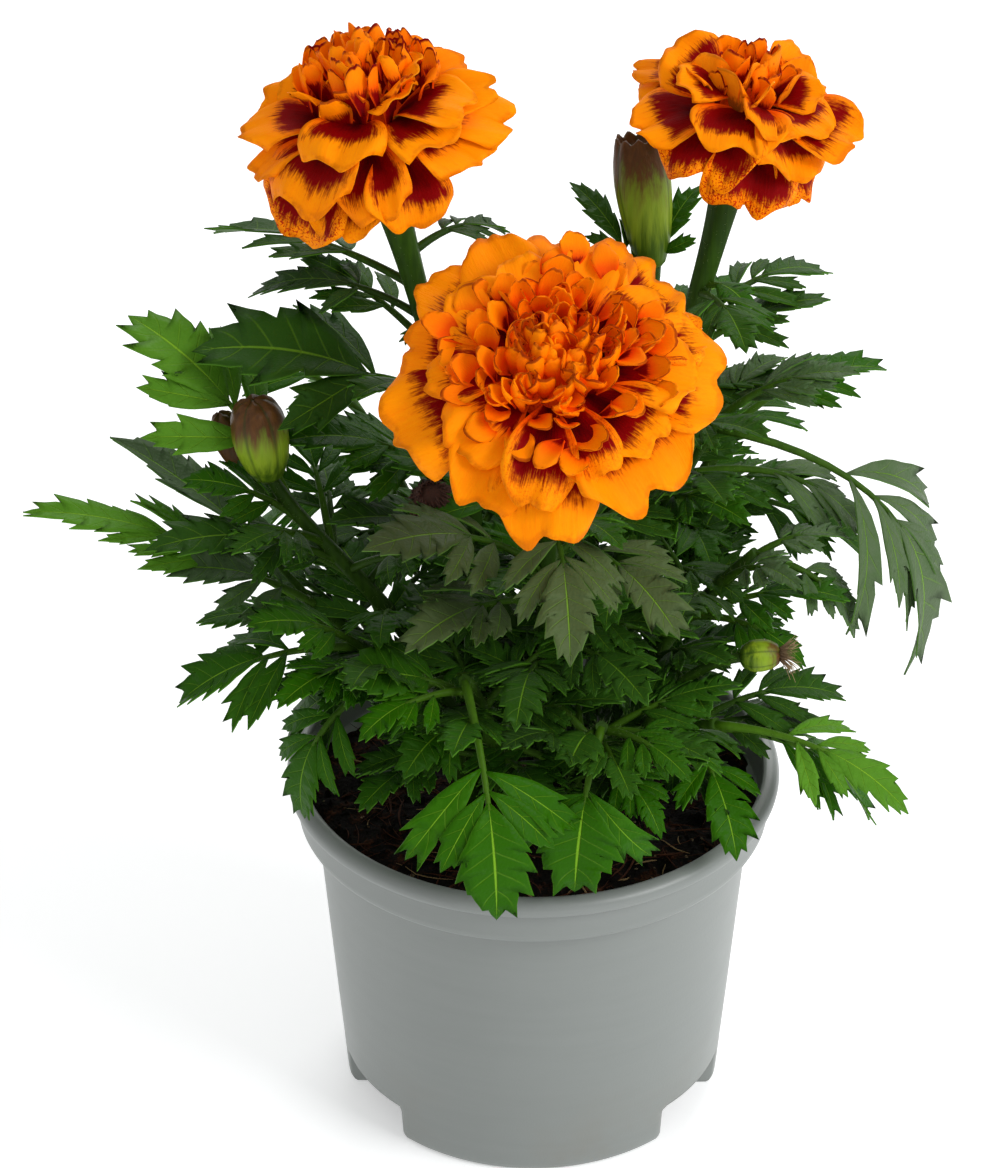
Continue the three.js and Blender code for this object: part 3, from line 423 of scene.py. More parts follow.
def colour_property(name, description, *channels):
    """A colour that the user can change, given as a display colour in parts of 255."""
    return bpy.props.FloatVectorProperty(
        name=name, description=description, subtype="COLOR", size=3, min=0, max=1,
        default=srgb(*channels),
    )


def count_property(name, description, default, least, most):
    """A whole number that the user can change."""
    return bpy.props.IntProperty(
        name=name, description=description, default=default, min=least, max=most)


def thickness_property(description, default):
    """A thickness in metres that the user can change."""
    return bpy.props.FloatProperty(
        name="Thickness", description=description, default=default, min=0.0001, max=0.002,
        unit="LENGTH", precision=5)


# Shades that no setting changes.
SHADES = {name: srgb(*channels) for name, channels in {
    "hair": (160, 184, 120), "bract_foot": (92, 124, 22), "bract_green": (108, 142, 16),
    "bract_lime": (152, 172, 44), "bract_brown": (36, 18, 10), "bract_tan": (112, 72, 30),
    # The first shade on the next line is painted shade at the feet of the small florets.
    "crown_shade_red": (206, 50, 0), "speck": (196, 36, 0), "deep_maroon": (66, 0, 5),
    # The first shade on the next line darkens patches near the pot's foot.
    "claw": (150, 120, 30), "foot_patch": (120, 110, 96), "pale_crumb": (150, 132, 104),
    "bleached": (168, 140, 98), "dried": (44, 28, 26), "dried_pale": (96, 66, 56),
    "dried_tip": (176, 152, 112),
}.items()}


class PotSettings(bpy.types.PropertyGroup):
    """The finish of the pot and what fills it."""

    wall: colour_property("Wall", "Colour of the pot's plastic", 130, 135, 132)
    sides: count_property("Sides", "Faces round the pot", 240, 24, 720)
    peat: colour_property("Peat", "Colour of the soil", 15, 12, 9)
    fibre: colour_property("Fibre", "Colour of the fibres in the soil", 96, 54, 32)
    fibres: count_property("Fibres", "Loose fibres on the soil", 420, 1, 5000)
    crumbs: count_property("Crumbs", "Loose crumbs on the soil", 1300, 1, 9000)


class LeafSettings(bpy.types.PropertyGroup):
    """The greens of the plant and how thick its leaves are."""

    shadow: colour_property("Shadow", "Darkest leaves", 30, 56, 14)
    mid: colour_property("Middle", "Leaves of middle age", 42, 84, 8)
    bright: colour_property("Bright", "Fresh leaves", 40, 91, 0)
    pale: colour_property("Pale", "Leaves that show their underside", 84, 136, 30)
    silver: colour_property("Silver", "Leaves with a grey bloom", 82, 101, 71)
    brown: colour_property("Brown", "Leaves with a brown cast", 86, 94, 62)
    vein: colour_property("Vein", "Midribs and veins", 126, 176, 40)
    stalk: colour_property("Stalk", "Stems and leaf stalks", 36, 62, 10)
    ridge: colour_property("Ridge", "Lighter streaks along a stem", 72, 112, 18)
    thickness: thickness_property("Thickness of a leaf at its midrib", 0.00045)
    hairs: count_property("Hairs", "Fine hairs on each stem", 220, 1, 2000)
    inner: count_property("Inner leaves", "Small leaves in the bush, for each stem", 10, 0, 20)


class BloomSettings(bpy.types.PropertyGroup):
    """The colours of the petals and how thick they are."""

    orange: colour_property("Orange", "Main colour of a petal", 255, 146, 0)
    flame: colour_property("Flame", "Warmer orange towards the middle", 244, 84, 2)
    maroon: colour_property("Maroon", "The blotch on a petal", 124, 0, 2)
    back: colour_property("Back", "Underside of a petal", 222, 138, 20)
    thickness: thickness_property("Thickness of a petal", 0.0004)


class StageSettings(bpy.types.PropertyGroup):
    """The camera, the light and the floor."""

    distance: bpy.props.FloatProperty(
        name="Distance", description="From the camera to the middle of the pot's rim",
        default=1.2, min=0.3, max=10, unit="LENGTH")
    elevation: bpy.props.FloatProperty(
        name="Elevation", description="How far the camera looks down",
        default=math.radians(34.75), min=0, max=1.5, subtype="ANGLE")
    scale: bpy.props.FloatProperty(
        name="Scale", description="Pixels for each millimetre at the pot's rim",
        default=4.69, min=1, max=20)
    floor: colour_property("Floor", "Colour of the floor", 244, 245, 246)
    key: bpy.props.FloatProperty(
        name="Key", description="Strength of the main light", default=16.0, min=0, max=200,
        unit="POWER")
    sky: bpy.props.FloatProperty(
        name="Sky", description="Strength of the light from all round", default=0.57,
        min=0, max=10)


# ---------------------------------------------------------------- numbers and curves


def chance(n):
    """A repeatable number from 0 to 1 for each whole number n: the fraction of a large sine."""
    wave = np.sin(np.asarray(n, float) * 12.9898) * 43758.5453
    return wave - np.floor(wave)


def unit(vectors):
    """Vectors of length one along the last axis."""
    return vectors / np.maximum(np.linalg.norm(vectors, axis=-1, keepdims=True), 1e-9)


def circle(sides):
    """Angles spaced evenly round a circle."""
    return np.arange(sides) * 2 * np.pi / sides


def square_to(axis, hint):
    """Two directions square to an axis and to each other, the first also square to the hint."""
    east = unit(np.cross(axis, hint))
    return east, np.cross(axis, east)


def spokes(angle, east, north):
    """Directions at angles round an axis: cos(angle) east + sin(angle) north."""
    return np.cos(angle)[..., None] * east + np.sin(angle)[..., None] * north


def shades(shape, *channels):
    """Four shades for each point of a shape: the channels in turn, and 0 for those left out."""
    tint = np.zeros((*shape, 4))
    for place, channel in enumerate(channels):
        tint[..., place] = channel
    return tint


def smooth(value, low, high):
    """A smooth step from 0 at low to 1 at high: 3t^2 - 2t^3 of the clipped share t."""
    t = np.clip((value - low) / (high - low), 0, 1)
    return t * t * (3 - 2 * t)


def cubic(path, t):
    """Points and unit directions on a cubic curve: the Bernstein sums of its four points."""
    a, b, c, d = np.array(path[:4], float)
    t = np.asarray(t, float)[..., None]
    place = a * (1 - t) ** 3 + 3 * b * t * (1 - t) ** 2 + 3 * c * t ** 2 * (1 - t) + d * t ** 3
    slope = (b - a) * (1 - t) ** 2 + 2 * (c - b) * t * (1 - t) + (d - c) * t ** 2
    return place, unit(slope)


def roughness(x, y, size, seed):
    """Value noise from -1 to 1: random heights on a square lattice, joined by smooth steps."""
    column, row = np.floor(x / size), np.floor(y / size)
    u, v = smooth(x / size - column, 0, 1), smooth(y / size - row, 0, 1)

    def height(i, j):
        return chance((column + i) * 57.31 + (row + j) * 131.77 + seed)

    near = height(0, 0) * (1 - u) + height(1, 0) * u
    far = height(0, 1) * (1 - u) + height(1, 1) * u
    return 2 * (near * (1 - v) + far * v) - 1


# ---------------------------------------------------------------- surfaces


def grid_faces(count, rows, columns, closed):
    """Quads of count grids of points, each row joined to the next and, if closed, round on itself.
    They face the way of column direction times row direction."""
    row, column = np.meshgrid(
        np.arange(rows - 1), np.arange(columns if closed else columns - 1), indexing="ij")
    after = (column + 1) % columns
    quad = np.stack([
        row * columns + column, row * columns + after,
        (row + 1) * columns + after, (row + 1) * columns + column,
    ], axis=-1).reshape(-1, 4)
    start = np.arange(count) * rows * columns
    return (start[:, None, None] + quad).reshape(-1, 4)


def ring_faces(count, rows, sides):
    """The faces of count closed surfaces of rings: the sides, and a flat cap at either end."""
    start = (np.arange(count) * rows * sides)[:, None]
    first = start + np.arange(sides)[::-1]
    last = start + (rows - 1) * sides + np.arange(sides)
    return [(grid_faces(count, rows, sides, True), True), (first, False), (last, False)]


def tubes(centres, radii, sides, rib=0.0, ribs=0):
    """Closed tubes along many paths at once: at each of the centres (tubes, steps, 3) stands a ring
    square to the path, of radius times 1 + rib cos(ribs angle), and both ends have a cap."""
    slope = unit(np.gradient(centres, axis=1))
    hint = np.eye(3)[np.argmin(np.abs(slope).max(axis=1), axis=-1)][:, None, :]
    east, north = square_to(slope, hint)
    angle = circle(sides)
    reach = radii[..., None] * (1 + rib * np.cos(ribs * angle))
    points = centres[:, :, None] + reach[..., None] * spokes(
        angle, east[:, :, None], north[:, :, None])
    return points, ring_faces(*centres.shape[:2], sides)


def shells(middle, half):
    """Closed thin sheets: each grid of middle points (sheets, rows, columns, 3) is moved by half a
    thickness both ways along its own normals, and a flat rim joins the two faces. The upper
    points of all sheets come first and then the lower ones."""
    count, rows, columns = middle.shape[:3]
    normal = unit(np.cross(np.gradient(middle, axis=2), np.gradient(middle, axis=1)))
    lift = normal * np.broadcast_to(half, middle.shape[:3])[..., None]
    quads = grid_faces(count, rows, columns, False)
    total = count * rows * columns
    edge = np.concatenate([
        np.arange(columns - 1), np.arange(rows - 1) * columns + columns - 1,
        np.arange(rows * columns - 1, (rows - 1) * columns, -1),
        np.arange(rows - 1, 0, -1) * columns,
    ])
    start = (np.arange(count) * rows * columns)[:, None]
    here = (start + edge).ravel()
    there = (start + np.roll(edge, -1)).ravel()
    rim = np.stack([there, here, here + total, there + total], axis=-1)
    points = np.stack([middle + lift, middle - lift])
    return points, [(quads, True), (quads[:, ::-1] + total, True), (rim, False)]


class Surfaces:
    """Surfaces gathered into one mesh: their points, faces, flat coordinates and shades."""

    def __init__(self):
        self.points, self.faces, self.flat, self.tint = [], [], [], []
        self.count = 0

    def add(self, points, faces, tint=(0, 0, 0, 0), flat=None, finish=0):
        """Adds one surface: each entry of faces is an array of corners and whether it is smooth."""
        shape = np.shape(points)[:-1]
        total = int(np.prod(shape))
        self.points.append(np.reshape(points, (total, 3)))
        self.tint.append(np.reshape(np.broadcast_to(tint, (*shape, 4)), (total, 4)))
        flat = np.zeros((*shape, 2)) if flat is None else np.broadcast_to(flat, (*shape, 2))
        self.flat.append(flat.reshape(total, 2))
        self.faces += [(corners + self.count, is_smooth, finish) for corners, is_smooth in faces]
        self.count += total

    def make(self, name, finishes, nodes=()):
        """Makes the mesh object in metres, with the materials that the finishes name, rides it on
        the part and lets it stand for the nodes."""
        mesh = bpy.data.meshes.new(name)
        points = np.concatenate(self.points) * MM
        corners = np.concatenate([face.ravel() for face, _, _ in self.faces])
        sizes = np.concatenate([np.full(len(face), face.shape[1]) for face, _, _ in self.faces])
        mesh.vertices.add(len(points))
        mesh.vertices.foreach_set("co", points.astype(np.float32).ravel())
        mesh.loops.add(len(corners))
        mesh.loops.foreach_set("vertex_index", corners.astype(np.int32))
        mesh.polygons.add(len(sizes))
        starts = np.concatenate([[0], np.cumsum(sizes)[:-1]])
        mesh.polygons.foreach_set("loop_start", starts.astype(np.int32))
        for key, place in (("use_smooth", 1), ("material_index", 2)):
            values = [np.full(len(group[0]), group[place]) for group in self.faces]
            mesh.polygons.foreach_set(key, np.concatenate(values).astype(np.int32))
        mesh.update(calc_edges=True)
        layer = mesh.uv_layers.new(name="flat")
        layer.data.foreach_set("uv", np.concatenate(self.flat)[corners].astype(np.float32).ravel())
        tint = mesh.attributes.new(TINT, "FLOAT_COLOR", "POINT")
        tint.data.foreach_set("color", np.concatenate(self.tint).astype(np.float32).ravel())
        for finish in finishes:
            mesh.materials.append(material_of(finish))
        piece = bpy.data.objects.new(name, mesh)
        bpy.context.scene.collection.objects.link(piece)
        if nodes:
            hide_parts(*nodes)
        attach(piece, "root")
        return piece


# ---------------------------------------------------------------- materials


def node(tree, kind, inputs=(), **settings):
    """Adds a shader node, sets its fields and gives its inputs values or joins them to outputs."""
    made = tree.nodes.new("ShaderNode" + kind)
    for key, value in settings.items():
        setattr(made, key, value)
    for name, value in dict(inputs).items():
        if isinstance(value, bpy.types.NodeSocket):
            tree.links.new(value, made.inputs[name])
        else:
            made.inputs[name].default_value = value
    return made


def calc(tree, operation, *values):
    """The result of one operation on numbers or outputs."""
    return node(tree, "Math", dict(enumerate(values)), operation=operation).outputs[0]


def plus(tree, first, second):
    """The sum of two values."""
    return calc(tree, "ADD", first, second)


def minus(tree, first, second):
    """The first value less the second."""
    return calc(tree, "SUBTRACT", first, second)


def times(tree, first, second):
    """The product of two values."""
    return calc(tree, "MULTIPLY", first, second)


def scaled(tree, value, factor, offset):
    """A value times a factor, plus an offset."""
    return calc(tree, "MULTIPLY_ADD", value, factor, offset)


def ease(tree, value, low, high):
    """A smooth step from 0 at low to 1 at high."""
    return node(tree, "MapRange", {0: value, 1: low, 2: high},
                interpolation_type="SMOOTHSTEP").outputs[0]


def blend(tree, share, first, second):
    """A mix of two colours, by a share of the second."""
    first, second = (value if isinstance(value, bpy.types.NodeSocket) else (*value, 1)
                     for value in (first, second))
    return node(tree, "Mix", {0: share, 6: first, 7: second}, data_type="RGBA").outputs[2]


def noise(tree, vector, scale, detail=2.0, rough=0.5):
    """Cloudy noise round 0.5 on a vector."""
    return node(tree, "TexNoise", {"Vector": vector, "Scale": scale, "Detail": detail,
                                   "Roughness": rough}).outputs["Fac"]


def shader_group(name, inputs, outputs, build):
    """A shader node group made once: build gets the tree and its inputs and returns its outputs."""
    found = bpy.data.node_groups.get(name)
    if found:
        return found
    tree = bpy.data.node_groups.new(name, "ShaderNodeTree")
    for label, kind in inputs:
        tree.interface.new_socket(label, in_out="INPUT", socket_type=kind)
    for label, kind in outputs:
        tree.interface.new_socket(label, in_out="OUTPUT", socket_type=kind)
    entry = tree.nodes.new("NodeGroupInput")
    leave = tree.nodes.new("NodeGroupOutput")
    for label, socket in zip([label for label, _ in outputs], build(tree, entry.outputs)):
        tree.links.new(socket, leave.inputs[label])
    return tree


def mottle_group():
    """Mottle: two sizes of cloudy noise on a vector, as one value round 0.5."""
    def build(tree, given):
        broad = noise(tree, given["Vector"], given["Scale"])
        fine = noise(tree, given["Vector"], times(tree, given["Scale"], 6.0))
        return [plus(tree, times(tree, broad, 0.65), times(tree, fine, 0.35))]

    return shader_group("mottle", [("Vector", "NodeSocketVector"), ("Scale", "NodeSocketFloat")],
                        [("Value", "NodeSocketFloat")], build)


def streak_group():
    """Streaks: noise on a vector that is first stretched by its own scale in each direction."""
    def build(tree, given):
        stretched = node(tree, "VectorMath", {0: given["Vector"], 1: given["Stretch"]},
                         operation="MULTIPLY").outputs[0]
        return [noise(tree, stretched, 1.0, 3.0, 0.6)]

    return shader_group("streak", [("Vector", "NodeSocketVector"), ("Stretch", "NodeSocketVector")],
                        [("Value", "NodeSocketFloat")], build)


def mottled(tree, place, scale):
    """The mottle group on the object's own place, with this material's scale."""
    return node(tree, "Group", {"Vector": place["Object"], "Scale": scale},
                node_tree=mottle_group()).outputs["Value"]


def streaked(tree, place, across, along):
    """The streak group on the object's own place, by the scales across and along +Z."""
    stretch = (across, across, along)
    return node(tree, "Group", {"Vector": place["Object"], "Stretch": stretch},
                node_tree=streak_group()).outputs["Value"]


def surface_material(name, rough, specular=0.5):
    """A plain material with its shader, and what its patterns read: the place, the shades in the
    order that the surfaces give them, and the last shade by itself."""
    material = bpy.data.materials.new(name)
    material.use_nodes = True
    tree = material.node_tree
    shader = tree.nodes["Principled BSDF"]
    shader.inputs["Roughness"].default_value = rough
    shader.inputs["Specular IOR Level"].default_value = specular
    place = node(tree, "TexCoord").outputs
    tint = node(tree, "Attribute", attribute_name=TINT).outputs
    shade = node(tree, "SeparateColor", {0: tint["Color"]}).outputs
    return material, tree, shader, place, shade, tint["Alpha"]


def cover(tree, shader, colour, height, distance, strength=1.0):
    """Gives the shader its colour, and lets a height in parts of a distance in metres tilt it."""
    tree.links.new(colour, shader.inputs["Base Color"])
    bump = node(tree, "Bump", {"Height": height, "Distance": distance, "Strength": strength})
    tree.links.new(bump.outputs[0], shader.inputs["Normal"])


def leaf_material(settings):
    """Leaf: its tone from a ramp of greens, silver and brown casts, a pale midrib, side veins that
    run forward to the teeth, a thin pale rim, a paler underside and the fine net of veins."""
    material, tree, shader, place, shade, brown = surface_material("leaf_green", 0.45, 0.06)
    mottle = mottled(tree, place, 90.0)
    tone = plus(tree, shade[0], scaled(tree, mottle, 0.3, -0.15))
    ramp = node(tree, "ValToRGB", {0: tone})
    stops = [(0.0, settings.shadow), (0.36, settings.mid), (0.76, settings.bright),
             (1.0, settings.pale)]
    for _ in range(len(stops) - 2):
        ramp.color_ramp.elements.new(0.5)
    for element, (position, colour) in zip(ramp.color_ramp.elements, stops):
        element.position = position
        element.color = (*colour, 1)
    cast = times(tree, shade[1], scaled(tree, mottle, 1.6, 0.1))
    colour = blend(tree, cast, ramp.outputs[0], settings.silver)
    colour = blend(tree, brown, colour, settings.brown)
    flat = node(tree, "SeparateXYZ", {0: place["UV"]})
    aside = calc(tree, "ABSOLUTE", scaled(tree, flat.outputs[0], 2.0, -1.0))
    along = scaled(tree, flat.outputs[1], 16.0, -4.0)
    midrib = ease(tree, aside, 0.06, 0.02)
    wander = scaled(tree, aside, -0.88, along)
    cycle = calc(tree, "FRACT", plus(tree, wander, 0.5))
    gap = calc(tree, "ABSOLUTE", minus(tree, cycle, 0.5))
    side = times(tree, ease(tree, gap, 0.07, 0.01), ease(tree, aside, 0.98, 0.5))
    lively = scaled(tree, shade[0], 0.55, 0.35)
    colour = blend(tree, times(tree, midrib, lively), colour, settings.vein)
    colour = blend(tree, times(tree, side, 0.2), colour, settings.vein)
    rim = times(tree, ease(tree, aside, 0.93, 1.0), 0.22)
    colour = blend(tree, rim, colour, settings.pale)
    under = times(tree, shade[2], 0.55)
    colour = blend(tree, under, colour, settings.pale)
    gloss = scaled(tree, mottle, 0.3, 0.28)
    tree.links.new(gloss, shader.inputs["Roughness"])
    net = node(tree, "TexVoronoi", {"Vector": place["Object"], "Scale": 1500.0})
    sunken = scaled(tree, side, -0.5, times(tree, midrib, -0.8))
    raised = plus(tree, times(tree, net.outputs["Distance"], 0.25), sunken)
    cover(tree, shader, colour, raised, 0.0004, 0.8)
    return material


def stalk_material(settings):
    """Stalk: green with fine lengthwise streaks, shadow green where its own shade says so."""
    material, tree, shader, place, shade, _ = surface_material("stalk_green", 0.5, 0.1)
    streak = streaked(tree, place, 900.0, 60.0)
    mottle = mottled(tree, place, 60.0)
    light = scaled(tree, streak, 0.7, scaled(tree, mottle, 0.7, -0.6))
    light = plus(tree, light, shade[1])
    colour = blend(tree, light, settings.stalk, settings.ridge)
    colour = blend(tree, shade[0], colour, settings.shadow)
    colour = blend(tree, shade[2], colour, SHADES["hair"])
    cover(tree, shader, colour, streak, 0.0002, 0.6)
    return material


def bract_material(settings):
    """Bract: green at its foot, yellow-green above it and purple-brown past its turn, streaked
    lengthwise and darker along the seams."""
    material, tree, shader, place, shade, _ = surface_material("bract", 0.42, 0.2)
    streak = streaked(tree, place, 800.0, 70.0)
    height = plus(tree, shade[0], scaled(tree, streak, 0.5, -0.25))
    low = blend(tree, streak, settings.stalk, SHADES["bract_foot"])
    ripe = blend(tree, streak, SHADES["bract_green"], SHADES["bract_lime"])
    green = blend(tree, ease(tree, height, 0.08, 0.34), low, ripe)
    green = blend(tree, shade[2], green, low)
    dark = blend(tree, streak, SHADES["bract_brown"], SHADES["bract_tan"])
    colour = blend(tree, ease(tree, height, 0.36, 0.66), green, dark)
    seam = times(tree, ease(tree, shade[1], 0.55, 1.0), 0.5)
    colour = blend(tree, seam, colour, settings.shadow)
    cover(tree, shader, colour, streak, 0.0003, 0.7)
    return material


def petal_material(settings):
    """Petal: orange, warmer towards its foot, with a maroon blotch whose edge is feathered along
    the petal's own lines and breaks up into specks, dark lines at the rim of the small
    florets and a duller back. Light that shines through is given as a faint glow."""
    material, tree, shader, place, shade, edge = surface_material("petal", 0.55, 0.05)
    flat = node(tree, "SeparateXYZ", {0: place["UV"]})
    aside = calc(tree, "ABSOLUTE", scaled(tree, flat.outputs[0], 2.0, -1.0))
    along = flat.outputs[1]
    apart = node(tree, "VectorMath", {0: place["Object"], 1: (60.0, 60.0, 60.0)},
                 operation="MULTIPLY").outputs[0]
    own = node(tree, "VectorMath", {0: place["UV"], 1: (40.0, 4.5, 0.0), 2: apart},
               operation="MULTIPLY_ADD").outputs[0]
    feather = noise(tree, own, 1.0, 5.0, 0.7)
    cloud = mottled(tree, place, 120.0)
    margin = scaled(tree, aside, -0.6, 0.5)
    gap = calc(tree, "MINIMUM", margin, minus(tree, shade[0], along))
    gap = scaled(tree, minus(tree, feather, 0.5), 0.4, gap)
    gap = scaled(tree, minus(tree, cloud, 0.5), 0.3, gap)
    inside = ease(tree, gap, -0.06, 0.09)
    speck = noise(tree, place["Object"], 2600.0, 2.0)
    speck = times(tree, ease(tree, speck, 0.52, 0.6), ease(tree, gap, -0.26, 0.0))
    speck = times(tree, speck, ease(tree, shade[0], 0.8, 0.9))
    warm = plus(tree, shade[1], scaled(tree, cloud, 0.5, -0.25))
    warm = plus(tree, warm, ease(tree, along, 0.8, 0.15))
    warm = scaled(tree, minus(tree, feather, 0.5), 0.5, warm)
    colour = blend(tree, warm, settings.orange, settings.flame)
    # Painted shade: the small florets turn deeper red towards their feet, down in the crown.
    crown_shade = times(tree, ease(tree, along, 0.55, 0.15), ease(tree, edge, 0.4, 0.8))
    crown_shade = times(tree, crown_shade, 0.6)
    colour = blend(tree, crown_shade, colour, SHADES["crown_shade_red"])
    colour = blend(tree, speck, colour, SHADES["speck"])
    line = calc(tree, "MAXIMUM", ease(tree, aside, 0.9, 0.98), ease(tree, along, 0.92, 0.97))
    line = times(tree, line, times(tree, edge, ease(tree, along, 0.45, 0.8)))
    line = times(tree, line, ease(tree, cloud, 0.4, 0.55))
    dots = node(tree, "TexVoronoi", {"Vector": place["Object"], "Scale": 170.0})
    pick = node(tree, "SeparateColor", {0: dots.outputs["Color"]}).outputs[0]
    near = ease(tree, dots.outputs["Distance"], 0.1, 0.06)
    dot = times(tree, times(tree, near, ease(tree, pick, 0.84, 0.86)), 0.8)
    dark = calc(tree, "MAXIMUM", calc(tree, "MAXIMUM", inside, line), dot)
    deep = blend(tree, ease(tree, gap, 0.12, 0.5), settings.maroon, SHADES["deep_maroon"])
    colour = blend(tree, dark, colour, deep)
    back = blend(tree, ease(tree, along, 0.5, 0.05), settings.back, SHADES["claw"])
    back = blend(tree, times(tree, inside, 0.35), back, deep)
    colour = blend(tree, shade[2], colour, back)
    tree.links.new(colour, shader.inputs["Emission Color"])
    shader.inputs["Emission Strength"].default_value = 0.1
    cover(tree, shader, colour, plus(tree, feather, cloud), 0.0004, 0.6)
    return material


def pot_material(settings):
    """Pot: matt grey plastic with faint flow marks, scuffs and darker patches near the foot."""
    material, tree, shader, place, _, _ = surface_material("pot_plastic", 0.3)
    mottle = mottled(tree, place, 24.0)
    flow = streaked(tree, place, 30.0, 340.0)
    light = scaled(tree, flow, 0.3, times(tree, mottle, 0.3))
    dark = [channel * 0.86 for channel in settings.wall]
    pale = [min(1, channel * 1.12) for channel in settings.wall]
    colour = blend(tree, light, dark, pale)
    height = node(tree, "SeparateXYZ", {0: place["Object"]}).outputs[2]
    # Darker, browner patches in the lowest 30 mm of the wall.
    foot_patch = times(tree, ease(tree, height, 0.03, 0.0), ease(tree, mottle, 0.45, 0.75))
    colour = blend(tree, times(tree, foot_patch, 0.3), colour, SHADES["foot_patch"])
    tree.links.new(scaled(tree, mottle, 0.22, 0.26), shader.inputs["Roughness"])
    grain = noise(tree, place["Object"], 2200.0, 1.0)
    raised = scaled(tree, flow, 0.6, times(tree, grain, 0.3))
    cover(tree, shader, colour, raised, 0.0002, 0.35)
    return material


def peat_material(settings):
    """Peat: near black, browner in cloudy patches, with a few pale crumbs, dull and rough."""
    material, tree, shader, place, shade, _ = surface_material("peat", 0.9, 0.1)
    mottle = mottled(tree, place, 260.0)
    light = ease(tree, mottle, 0.5, 0.72)
    colour = blend(tree, times(tree, light, 0.6), settings.peat, settings.fibre)
    colour = blend(tree, shade[0], colour, SHADES["pale_crumb"])
    cover(tree, shader, colour, mottle, 0.0012, 1.0)
    return material


def fibre_material(settings):
    """Fibre: red-brown strands of peat, some of them bleached."""
    material, tree, shader, place, shade, _ = surface_material("peat_fibre", 0.75, 0.15)
    mottle = mottled(tree, place, 300.0)
    colour = blend(tree, mottle, settings.peat, settings.fibre)
    colour = blend(tree, shade[0], colour, SHADES["bleached"])
    cover(tree, shader, colour, mottle, 0.0002, 0.6)
    return material


def withered_material():
    """Withered: brown-purple dried florets, paler at their tips."""
    material, tree, shader, place, shade, _ = surface_material("withered", 0.8, 0.15)
    mottle = mottled(tree, place, 400.0)
    colour = blend(tree, mottle, SHADES["dried"], SHADES["dried_pale"])
    colour = blend(tree, shade[0], colour, SHADES["dried_tip"])
    cover(tree, shader, colour, mottle, 0.0004, 0.8)
    return material


def material_of(name):
    """The material of that name, made when it is first asked for."""
    scene = bpy.context.scene
    leaf, bloom, pot = scene.marigold_leaf, scene.marigold_bloom, scene.marigold_pot
    makers = {
        "leaf_green": lambda: leaf_material(leaf),
        "stalk_green": lambda: stalk_material(leaf),
        "bract": lambda: bract_material(leaf),
        "petal": lambda: petal_material(bloom),
        "pot_plastic": lambda: pot_material(pot),
        "peat": lambda: peat_material(pot),
        "peat_fibre": lambda: fibre_material(pot),
        "withered": withered_material,
    }
    return bpy.data.materials.get(name) or makers[name]()


# ---------------------------------------------------------------- pot and soil


def drain_share(angle, widen):
    """How far the wall gives way to a drain recess: 1 inside its spread and 0 past its slope."""
    middles = np.radians(DRAIN["angles"])
    apart = np.abs((angle[:, None] - middles + np.pi) % (2 * np.pi) - np.pi).min(axis=1)
    half = np.radians(DRAIN["spread"] / 2 + widen)
    return 1 - smooth(apart, half, half + np.radians(DRAIN["slope"]))


def pot_surface(sides):
    """The pot: its outline turned about +Z, with the foot drawn in to a smaller radius inside each
    drain recess, and the inside drawn in with it by the wall."""
    outline = np.array(POT_OUTLINE, float)
    angle = circle(sides)
    radius, height = np.broadcast_arrays(outline[:, :1], outline[:, 1:])
    inside = np.arange(len(outline)) >= FIRST_INNER
    wall = np.where(inside, DRAIN["wall"], 0.0)[:, None]
    low = 1 - smooth(height - wall, DRAIN["top"] - 0.4, DRAIN["top"] + 1.0)
    share = np.where(inside[:, None], drain_share(angle, 2.0), drain_share(angle, 0.0)) * low
    target = DRAIN["inner"] - wall
    drawn = np.where(radius > target, radius + (target - radius) * share, radius)
    points = np.stack(np.broadcast_arrays(
        drawn * np.cos(angle), drawn * np.sin(angle), height), axis=-1)[None]
    return points, ring_faces(1, len(outline), sides)


def soil_top(x, y):
    """The height of the soil: three sizes of value noise over a slightly domed level."""
    edge, rise, rough = 48, 0.8, 0.9
    dome = 1.0 - (x * x + y * y) / edge ** 2
    bumps = (1.0 * roughness(x, y, 9.0, 3) + 0.75 * roughness(x, y, 3.4, 11)
             + 0.5 * roughness(x, y, 1.5, 29))
    return SOIL["top"] + rise * dome + rough * bumps


def soil_surface():
    """The soil: up its side inside the pot and inwards over its rough top, in rings."""
    sides, count, least = 220, 64, 0.5
    angle = circle(sides)
    side = np.array(SOIL["side"])
    rings = np.linspace(SOIL["radius"], least, count)
    radius = np.concatenate([side[:, 0], rings])[:, None]
    x, y = radius * np.cos(angle), radius * np.sin(angle)
    height = np.where(np.arange(len(radius))[:, None] < len(side),
                      np.concatenate([side[:, 1], rings])[:, None], soil_top(x, y))
    points = np.stack([x, y, height], axis=-1)[None]
    return points, ring_faces(1, len(radius), sides)


def scattered(count, reach, draw):
    """Random places on the soil: radius by the square root of a draw, so that they lie evenly."""
    radius = reach * np.sqrt(draw.random(count))
    angle = draw.random(count) * 2 * np.pi
    x, y = radius * np.cos(angle), radius * np.sin(angle)
    return np.stack([x, y, soil_top(x, y)], axis=-1)


def crumb_surfaces(count, draw):
    """Crumbs: small octahedra with a ring of six, each point moved by a random part."""
    ring = np.arange(6) * np.pi / 3
    form = np.concatenate([
        [[0, 0, -0.7]], np.stack([np.cos(ring), np.sin(ring), 0 * ring], axis=-1), [[0, 0, 0.8]]])
    size = 0.35 + 1.0 * draw.random((count, 1, 1)) ** 2
    centre = scattered(count, SOIL["crumbs"], draw)[:, None]
    points = centre + form * size * draw.uniform(0.6, 1.2, (count, 8, 3))
    index = np.arange(6)
    following = (index + 1) % 6 + 1
    low = np.stack([0 * index, following, index + 1], axis=-1)
    high = np.stack([0 * index + 7, index + 1, following], axis=-1)
    faces = np.arange(count)[:, None, None] * 8 + np.concatenate([low, high])
    bleached = np.where(draw.random((count, 1)) < 0.05, draw.uniform(0.3, 0.9, (count, 1)), 0)
    return points, [(faces.reshape(-1, 3), False)], shades((count, 8), bleached)


